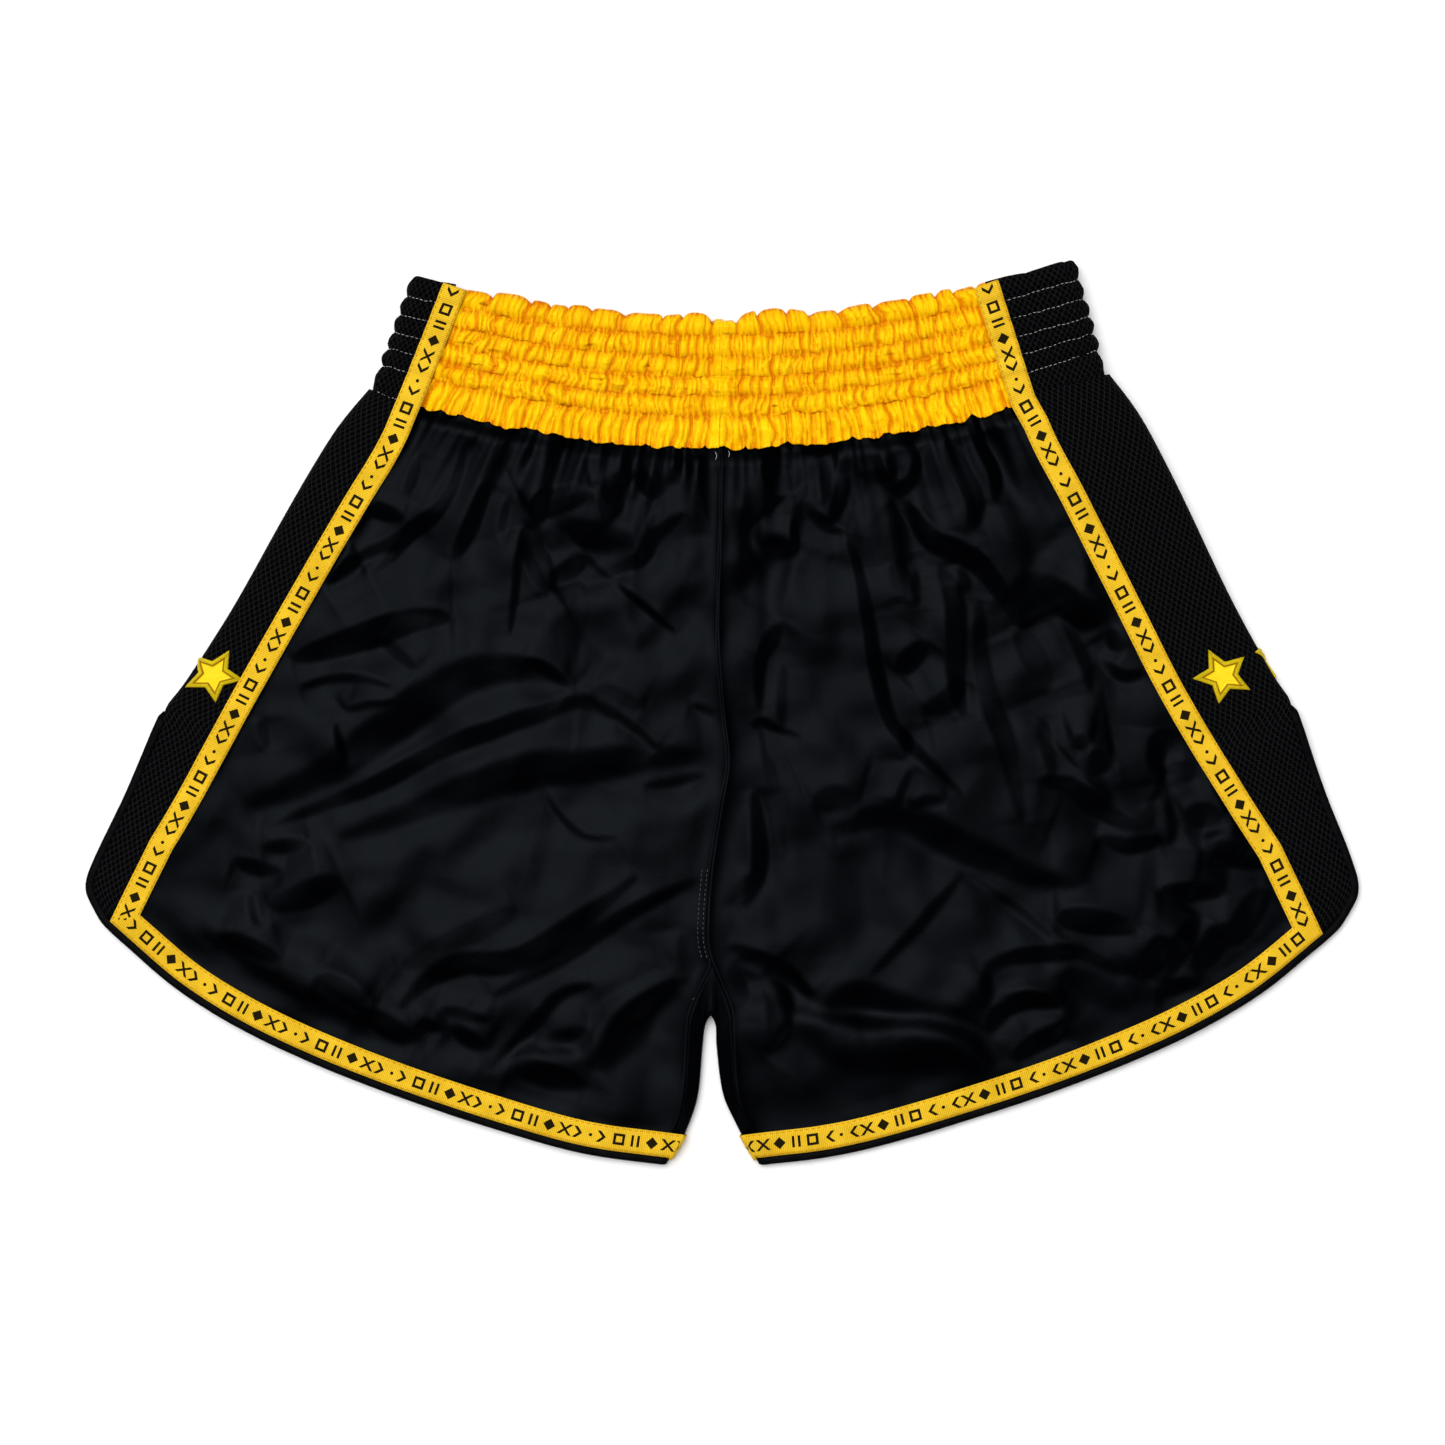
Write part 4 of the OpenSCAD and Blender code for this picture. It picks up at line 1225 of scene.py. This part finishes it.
def side_panel(s):
    """Rows down the panel; each goes from the front seam, round the fold, to the back seam."""
    rows = fine(110)
    flat_n, turn_n = 14, 9
    shares = np.linspace(0, 0.998, rows)
    grid = []
    for v in shares:
        open_ = float(smooth((v - SLIT_AT) / 0.045))
        edge = inset(FOLD[s], v, -s, open_ * BINDING_W * 0.7)
        bulge = smooth((v - 0.8) / 0.2)
        row = []
        for face in (FRONT, BACK):
            seam = along(SEAM[s, face], v)
            r = max((face_h(edge[1]) - LIFT) / 2 - 1.2 * MM * open_, 1 * MM)
            gap = np.linalg.norm(edge - seam)
            angles = np.linspace(0, math.pi / 2, turn_n)
            q = np.concatenate([np.linspace(0, 1 - r / gap, flat_n, endpoint=False),
                                1 - r * (1 - np.sin(angles)) / gap])
            line = mix(seam, edge, q[:, None])
            hem_from = inset(HEM[s], CORNER_AT, s, BINDING_W)
            hem_to = inset(HEM[s], 1.0, s, BINDING_W)
            at = mix(CORNER_AT, 1, q)
            line += bulge * (inset(HEM[s], at, s, BINDING_W) - mix(hem_from, hem_to, q[:, None]))
            z = face_z(line, s, face)
            middle = (z + face_z(line, s, -face)) / 2
            turn = np.concatenate([np.zeros(flat_n), angles])
            round_z = middle + (z - middle) * np.cos(turn)
            side = at_height(line, mix(round_z, z, open_))
            row.append(side if face == FRONT else side[::-1])
        grid.append(np.vstack(row))
    grid = laid(np.array(grid))
    half = flat_n + turn_n
    slit = int(np.searchsorted(shares, SLIT_AT))
    faces = grid_faces(*grid.shape[:2])
    column = np.arange(len(faces)) % (grid.shape[1] - 1)
    faces = faces[column != half - 1]
    u = np.array([lengths(row) for row in grid])
    u -= u[:, half - 1:half]
    v = np.broadcast_to(lengths(along(FOLD[s], shares))[:, None], u.shape)
    grid[:slit + 1, half] = grid[:slit + 1, half - 1]
    return grid, faces, np.stack([u, v], -1)


SIDE_GRIDS = {}
for side_name, s in SIDES.items():
    grid, faces, uv = side_panel(s)
    SIDE_GRIDS[s] = grid, uv
    panel = make(f"mesh_side_panel_{side_name}", grid, faces, uv, flip=s == LEFT)
    weld(panel)
    thicken(panel, 1.2 * MM)
    finish_piece(panel, M["mesh_black"], [f"side_panel_{side_name}"])


# ---- Gusset ----

def gusset():
    rows = []
    for s in (LEFT, RIGHT):
        t = np.linspace(0, 0.99, fine(70))
        inner, outer = along(INNER[s], t), along(GUSSET[s], t)
        part = []
        for face in (FRONT, BACK):
            q = np.linspace(0, 1, 8)[None, :, None]
            line = mix(outer[:, None], inner[:, None], q * 0.94)
            z = face_z(line, s, face)
            if face == FRONT:
                z = z - 3.4 * MM * q[..., 0] * smooth(t / 0.15)[:, None]
            side = at_height(line, z)
            part.append(side if face == FRONT else side[:, ::-1])
        top, low = part[0][:, -1:], part[1][:, :1]
        angles = np.linspace(0, math.pi, 9)[None, 1:-1, None]
        middle, half = (top + low) / 2, (top - low) / 2
        out = at_height(inner, 0 * inner[:, 0])[:, None] - middle * [1, 1, 0]
        wrap = middle + half * np.cos(angles) + out * np.sin(angles)
        part = np.concatenate([part[0], wrap, part[1]], 1)
        rows.append(part[::-1] if s == LEFT else part[1:])
    return laid(np.vstack(rows))


grid = gusset()
piece = make("satin_crotch_gusset", grid, grid_faces(*grid.shape[:2]), measure_uv(grid))
thicken(piece, CLOTH_T)
finish_piece(piece, M["satin_black"], ["crotch_gusset"])


# ---- Trim tape ----

CROTCH_Y = -160 * MM         # below it a tape ends at the leg's inner edge
WRAP_RUN = 12 * MM           # of tape that goes round the inner edge


def resample(curve, step):
    return along(curve, np.linspace(0, 1, max(2, int(lengths(curve)[-1] / step))))


def tape_legs(s, face):
    """The tape's centre line down the side seam, and along the hem, both past the corner."""
    v = np.linspace(0.01 if face == FRONT else 0.1, 0.985, 24)
    x = seam_x(s, face, v)
    down = np.vstack([np.stack([x, mix(band_top(x), band_low(x), v)], -1),
                      along(SEAM[s, face], np.linspace(0.05, 0.84, 40))])
    centre = BINDING_W + TAPE_W / 2
    corner = inset(HEM[s], hem_share(s, face) - 0.009, s, centre)
    hem = inset(HEM[s], np.linspace(0.88, 0.04, 60), s, centre)
    far = 12 * MM
    down = np.vstack([down, corner, corner + far * unit(corner - down[-1])])
    beyond = hem[-1] + 22 * MM * unit(hem[-1] - hem[-3])
    across = np.vstack([corner + far * unit(corner - hem[0]), corner, hem, beyond])
    return down, across, corner, unit(hem[0] - corner), unit(down[-3] - corner)


def tape_height(p, s, face):
    if face == BACK:
        return np.full(p.shape[:-1], 0.45 * MM)
    x, y = p[..., 0], p[..., 1]
    below = band_low(x) - y
    v = (band_top(x) - y) / (band_top(x) - band_low(x))
    dip = sum(1.5 * MM * np.exp(-((v - row) / 0.022) ** 2) for row in ROW_AT[:-1])
    on_band = BAND_T + 0.2 * MM - dip
    return mix(on_band, front_z(p, s) + 1.1 * MM, smooth((below + 2 * MM) / (12 * MM)))


def ribbon(curve, s, face, corner, mitre, sign):
    """Points across a stretch of tape, cut off along the mitre, with their UVs."""
    line = resample(curve, fine(1.6) * MM)
    way = unit(np.gradient(line, axis=0))
    across = np.linspace(-0.5, 0.5, 7) * TAPE_W
    p = line[:, None] + across[None, :, None] * quarter(way, -s)[:, None]
    run = np.broadcast_to(lengths(line)[:, None], p.shape[:2]).copy()
    past = (p - corner) @ mitre * sign
    speed = (way @ mitre * sign)[:, None]
    back = np.where(past > 0, past / np.where(np.abs(speed) < 0.05, 0.05, speed), 0)
    p = p - back[..., None] * way[:, None]
    run = run - back
    edge = INNER[s][::-1]
    inner_x = np.interp(p[..., 1], edge[:, 1], edge[:, 0])
    outside = (s * (p[..., 0] - inner_x) < 0) & (p[..., 1] < CROTCH_Y)
    p[..., 0] = np.where(outside, inner_x, p[..., 0])
    uv = np.stack([run, np.broadcast_to(across, run.shape)], -1)
    return at_height(p, tape_height(p, s, face)), uv


def tape(s):
    """One tape: down the front, along the hem, round the leg's inside and back again."""
    halves = {}
    for face in (FRONT, BACK):
        down, hem, corner, way_hem, way_down = tape_legs(s, face)
        normal = unit(way_hem - way_down)
        a, uv_a = ribbon(down, s, face, corner, normal, 1)
        b, uv_b = ribbon(hem, s, face, corner, normal, -1)
        uv_b[..., 0] += uv_a[-1, :, 0].max() - uv_b[0, :, 0].min()
        halves[face] = [np.vstack([a, b]), np.vstack([uv_a, uv_b])]
    front, back = halves[FRONT], halves[BACK]
    angles = np.linspace(0, math.pi, 9)[1:-1]
    top, low = front[0][-1], back[0][-1]
    outward = -quarter(heading(INNER[s], np.array([0.8])), s)[0]
    bulge = np.append(outward, 0) * 1.3 * MM
    wrap = np.array([(top + low) / 2 + (top - low) / 2 * math.cos(a) + bulge * math.sin(a)
                     for a in angles])
    wrap_uv = np.array([front[1][-1] + [a / math.pi * WRAP_RUN, 0] for a in angles])
    back_uv = back[1][::-1].copy()
    back_uv[..., 0] = front[1][-1, 0, 0] + WRAP_RUN + back_uv[0, 0, 0] - back_uv[..., 0]
    points = laid(np.vstack([front[0], wrap, back[0][::-1]]))
    return points, np.vstack([front[1], wrap_uv, back_uv]), len(front[0])


TAPES = {}
for side_name, s in SIDES.items():
    grid, uv, front_count = tape(s)
    TAPES[s] = grid, front_count
    piece = make(f"woven_trim_tape_{side_name}", grid, grid_faces(*grid.shape[:2]), uv,
                 flip=s == RIGHT)
    weld(piece, 1e-5)
    thicken(piece, TAPE_T, 0)
    finish_piece(piece, M["tape_yellow"], [f"trim_tape_{side_name}"])


# ---- Binding ----

def binding(s):
    """Stations of the closed loop round a leg opening: their centre points."""
    t = np.linspace(0.004, 0.985, fine(150))
    v = np.linspace(0.985, SLIT_AT + 0.03, fine(60))
    mid = BINDING_W / 2
    edge = np.vstack([inset(HEM[s], t, s, mid), inset(FOLD[s], v, -s, mid)])
    keep = np.concatenate([[True], np.linalg.norm(np.diff(edge, axis=0), axis=1) > 0.1 * MM])
    edge = resample(spline(edge[keep][::3], 4), fine(2.2) * MM)
    front = at_height(edge, front_z(edge, s) + 0.1 * MM)
    back = at_height(edge, back_z(edge) + 0.15 * MM)[::-1]

    def turn(a, b, out):
        angles = np.linspace(0, math.pi, 8)[1:-1, None]
        return (a + b) / 2 + (a - b) / 2 * np.cos(angles) + np.array(out) * np.sin(angles)

    top = turn(front[-1], back[0], np.append(unit(along(FOLD[s], SLIT_AT) - edge[-1]), 0) * 5 * MM)
    foot = turn(back[-1], front[0], np.array([-s * 1.6, 0.4, 0]) * MM)
    return laid(np.vstack([front, top, back, foot]))


def tube(line, wide, high, sides, inward):
    """A closed tube round a closed line; inward gives the way across at each station."""
    along_it = unit(np.roll(line, -1, 0) - np.roll(line, 1, 0))
    up = unit(np.cross(along_it, inward))
    side = unit(np.cross(up, along_it))
    a = np.linspace(0, 2 * math.pi, sides, endpoint=False)[None, :, None]
    return line[:, None] + wide * np.cos(a) * side[:, None] + high * np.sin(a) * up[:, None]


def ring_faces(n, m):
    """Faces of a grid that closes on itself both ways."""
    row, col = np.divmod(np.arange(n * m), m)
    next_row, next_col = (row + 1) % n, (col + 1) % m
    return np.stack([row * m + col, next_row * m + col, next_row * m + next_col,
                     row * m + next_col], -1)


for side_name, s in SIDES.items():
    line = binding(s)
    way = unit(np.roll(line, -1, 0) - np.roll(line, 1, 0))
    flatway = way * [1, 1, 0]
    inward = unit(np.cross([0, 0, 1.0], flatway) + np.array([0, 0, 1e-4]))
    # where the binding goes through the garment, from one face to the other
    upright = np.linalg.norm(flatway, axis=1)[:, None] <= 0.35
    inward = np.where(upright, [0, 1.0, 0], inward)
    for _ in range(2):
        flip_at = (inward * np.roll(inward, 1, 0)).sum(1) < 0
        sign = np.where(np.cumsum(flip_at) % 2 == 1, -1, 1)[:, None]
        inward = inward * sign
    ring = tube(line, BINDING_W / 2 * 1.08, 0.95 * MM, 10, inward)
    ring[..., 2] += 0.22 * MM * noise(ring[..., 0], ring[..., 1], 3.5 * MM, 61)
    run = np.broadcast_to(lengths(line)[:, None], ring.shape[:2])
    round_uv = np.broadcast_to(np.linspace(0, 0.009, 10)[None], ring.shape[:2])
    piece = make(f"turned_hem_binding_{side_name}", ring, ring_faces(*ring.shape[:2]),
                 np.stack([run, round_uv], -1))
    face_outwards(piece)
    finish_piece(piece, M["binding_black"], [f"hem_binding_{side_name}"])


# ---- Star patches ----

def on_side(s, u, v):
    """Points and normals of a mesh panel at places u, across from the fold, and v, down it."""
    grid, uv = SIDE_GRIDS[s]
    down = uv[:, 0, 1]

    def place(u, v):
        k = np.clip(np.searchsorted(down, v) - 1, 0, len(down) - 2)
        t = (v - down[k]) / (down[k + 1] - down[k])
        out = np.zeros(u.shape + (3,))
        for i in np.ndindex(u.shape):
            a = [np.interp(u[i], uv[k[i], :, 0], grid[k[i], :, c]) for c in range(3)]
            b = [np.interp(u[i], uv[k[i] + 1, :, 0], grid[k[i] + 1, :, c]) for c in range(3)]
            out[i] = mix(np.array(a), np.array(b), t[i])
        return out

    step = 1.5 * MM
    sideways = place(u + step, v) - place(u - step, v)
    return place(u, v), unit(np.cross(sideways, place(u, v - step) - place(u, v + step)))


def star_patch(name, s, around):
    """A sewn star; around is how far its middle is from the fold, in mm, backwards if negative."""
    per_edge, rings = fine((8, 18))
    m = 10 * per_edge
    tips = np.array([((1, 0.5)[i % 2] * math.sin(math.radians(36 * i)),
                      (1, 0.5)[i % 2] * math.cos(math.radians(36 * i))) for i in range(10)])
    k = np.arange(m)
    rim = STAR_R * mix(tips[k // per_edge], tips[(k // per_edge + 1) % 10],
                       (k % per_edge / per_edge)[:, None])
    inner_r = STAR_R * 0.5 * math.cos(math.pi / 5) * 0.92
    share = np.linspace(0.02, 1, rings) ** 0.8
    flat = share[:, None, None] * rim[None]
    middle = STAR_AT * lengths(FOLD[s])[-1]
    p, normal = on_side(s, -around * MM + flat[..., 0], middle - flat[..., 1])
    edge = ((1 - share) * inner_r)[:, None] + 0 * flat[..., 0]
    border = smooth(1 - np.abs(edge - 1.1 * MM) / (1.25 * MM))
    seam = np.exp(-((edge - 3.2 * MM) / (0.35 * MM)) ** 2)
    high = MM * (0.55 + 0.75 * border - 0.25 * seam)
    high = np.where(edge < 1e-6, 0.1 * MM, high)
    p = p + normal * (high * s)[..., None]
    centre, up = on_side(s, np.array([-around * MM]), np.array([middle]))
    points = np.vstack([p.reshape(-1, 3), centre + up * 0.55 * MM * s])
    points[:, 2] = np.maximum(points[:, 2], 0.6 * MM)
    faces = ring_faces(rings, m)[: (rings - 1) * m].tolist()
    faces += [[i, (i + 1) % m, rings * m] for i in range(m)]
    perimeter = lengths(np.vstack([rim, rim[:1]]))[:-1]
    uv = np.vstack([np.stack(np.broadcast_arrays(perimeter[None], edge), -1).reshape(-1, 2),
                    [[0, inner_r]]])
    obj = make(name, points, faces, uv)
    face_outwards(obj)
    thicken(obj, 0.5 * MM, -1)
    finish_piece(obj, M["patch_yellow"], [name.replace("sewn_", "")])


for name, s, around in (("sewn_star_front_left", LEFT, 14), ("sewn_star_front_right", RIGHT, 26),
                        ("sewn_star_back_left", LEFT, -20), ("sewn_star_fold_right", RIGHT, -8)):
    star_patch(name, s, around)

# ---- Stitches and loose threads ----

def stitches(name, lines, length, gap, radius, material):
    """One piece made of every stitch along lines; each line is (points, outward vectors)."""
    rng = np.random.default_rng(len(name))
    all_points, all_faces, count = [], [], 0
    sides = 6
    swell = np.array([0.35, 0.9, 1.0, 0.9, 0.35])
    share = np.linspace(0, 1, len(swell))
    for points, outward in lines:
        total = lengths(points)[-1]
        starts = np.arange(gap, total - length, length + gap)
        starts = starts + rng.uniform(-0.15, 0.15, len(starts)) * gap
        at = (starts[:, None] + share * length) / total
        s_line = lengths(points) / total
        centre = np.stack([np.interp(at, s_line, c) for c in points.T], -1)
        up = unit(np.stack([np.interp(at, s_line, c) for c in outward.T], -1))
        centre = centre + up * radius * (1.6 * np.sin(math.pi * share)[None, :, None] - 0.5)
        way = unit(np.gradient(centre, axis=1))
        side = unit(np.cross(way, up))
        a = np.linspace(0, 2 * math.pi, sides, endpoint=False)[:, None]
        ring = centre[:, :, None] + radius * swell[None, :, None, None] * (
            np.cos(a) * side[:, :, None] + np.sin(a) * up[:, :, None])
        all_points.append(ring.reshape(-1, 3))
        to_end = (len(share) - 1) * sides
        local = ring_faces(len(share), sides)[:to_end]
        for _ in starts:
            all_faces.extend((local + count).tolist())
            all_faces.append([count + j for j in range(sides)])
            all_faces.append([count + to_end + j for j in reversed(range(sides))])
            count += len(share) * sides
    obj = make(name, np.vstack(all_points), all_faces)
    face_outwards(obj)
    finish_piece(obj, material)


def tree_of(grid):
    return BVHTree.FromPolygons(grid.reshape(-1, 3).tolist(), grid_faces(*grid.shape[:2]).tolist())


TREES = {key: tree_of(grid) for key, grid in PANELS.items()}


def lay_on(points, tree, raised):
    """Puts flat points on the surface below them."""
    out = []
    for x, y in points:
        hit = tree.ray_cast((x, y, 0.1), (0, 0, -1))[0]
        if hit:
            out.append((x, y, hit.z + raised))
    return np.array(out)


def upwards(points, z=1.0):
    return np.tile([0, 0, z], (len(points), 1))


edge_lines = []
for s in (LEFT, RIGHT):
    grid, front_count = TAPES[s]
    for column in (0.42, 5.58):
        k = int(column)
        line = mix(grid[:, k], grid[:, k + 1], column - k)
        top, low = line[:front_count], line[front_count + 7:]
        edge_lines.append((top + [0, 0, TAPE_T / 2], upwards(top)))
        edge_lines.append((low - [0, 0, TAPE_T / 2], upwards(low, -1)))
band_lines = [row for name, rows in STITCH_ROWS.items() for row in rows if "_side_" not in name]
side_lines = [row for name, rows in STITCH_ROWS.items() for row in rows if "_side_" in name]
stitches("stitch_tape_edges", edge_lines, 2.3 * MM, 0.7 * MM, 0.2 * MM, THREAD_YELLOW)
stitches("stitch_waistband_rows", band_lines, 2.4 * MM, 0.8 * MM, 0.13 * MM, THREAD_YELLOW)
stitches("stitch_waistband_sides", side_lines, 1.9 * MM, 0.7 * MM, 0.15 * MM, THREAD_WHITE)

seam = spline(FRONT_SEAM)
seam_low = seam[seam[:, 1] < -75 * MM]
seam_paths = [(LEFT, laid(seam_low + [offset * MM, 0])) for offset in (-1.8, -4.4)]
seam_paths += [(s, spline(MM * np.array(path, float), 6)) for s, path in
               ((LEFT, [(-8, -137), (-12, -141), (-17, -144)]),
                (RIGHT, [(-5, -137), (-2, -142), (3, -147)]))]
seam_lines = []
for s, path in seam_paths:
    line = lay_on(resample(path, 1 * MM), TREES[s, FRONT], 0.1 * MM)
    if len(line) > 3:
        seam_lines.append((line, upwards(line)))
stitches("stitch_centre_seam", seam_lines, 1.5 * MM, 0.9 * MM, 0.17 * MM, THREAD_GREY)
for name, s, path in (("thread_end_a", LEFT, [(-3.5, 131), (-2.6, 128.5), (-3.4, 126.4)]),
                      ("thread_end_b", RIGHT, [(3, 131.5), (3.8, 130), (3.2, 128)])):
    path = resample(spline(MM * np.array(path, float), 8), 0.5 * MM)
    line = lay_on(path, TREES[s, FRONT], 0.3 * MM)
    stitches(name, [(line, upwards(line))], lengths(line)[-1] - 0.2 * MM, 0.1 * MM, 0.16 * MM,
             THREAD_WHITE)


# ---- Studio and the object's bounds ----

studio()
low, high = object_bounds()
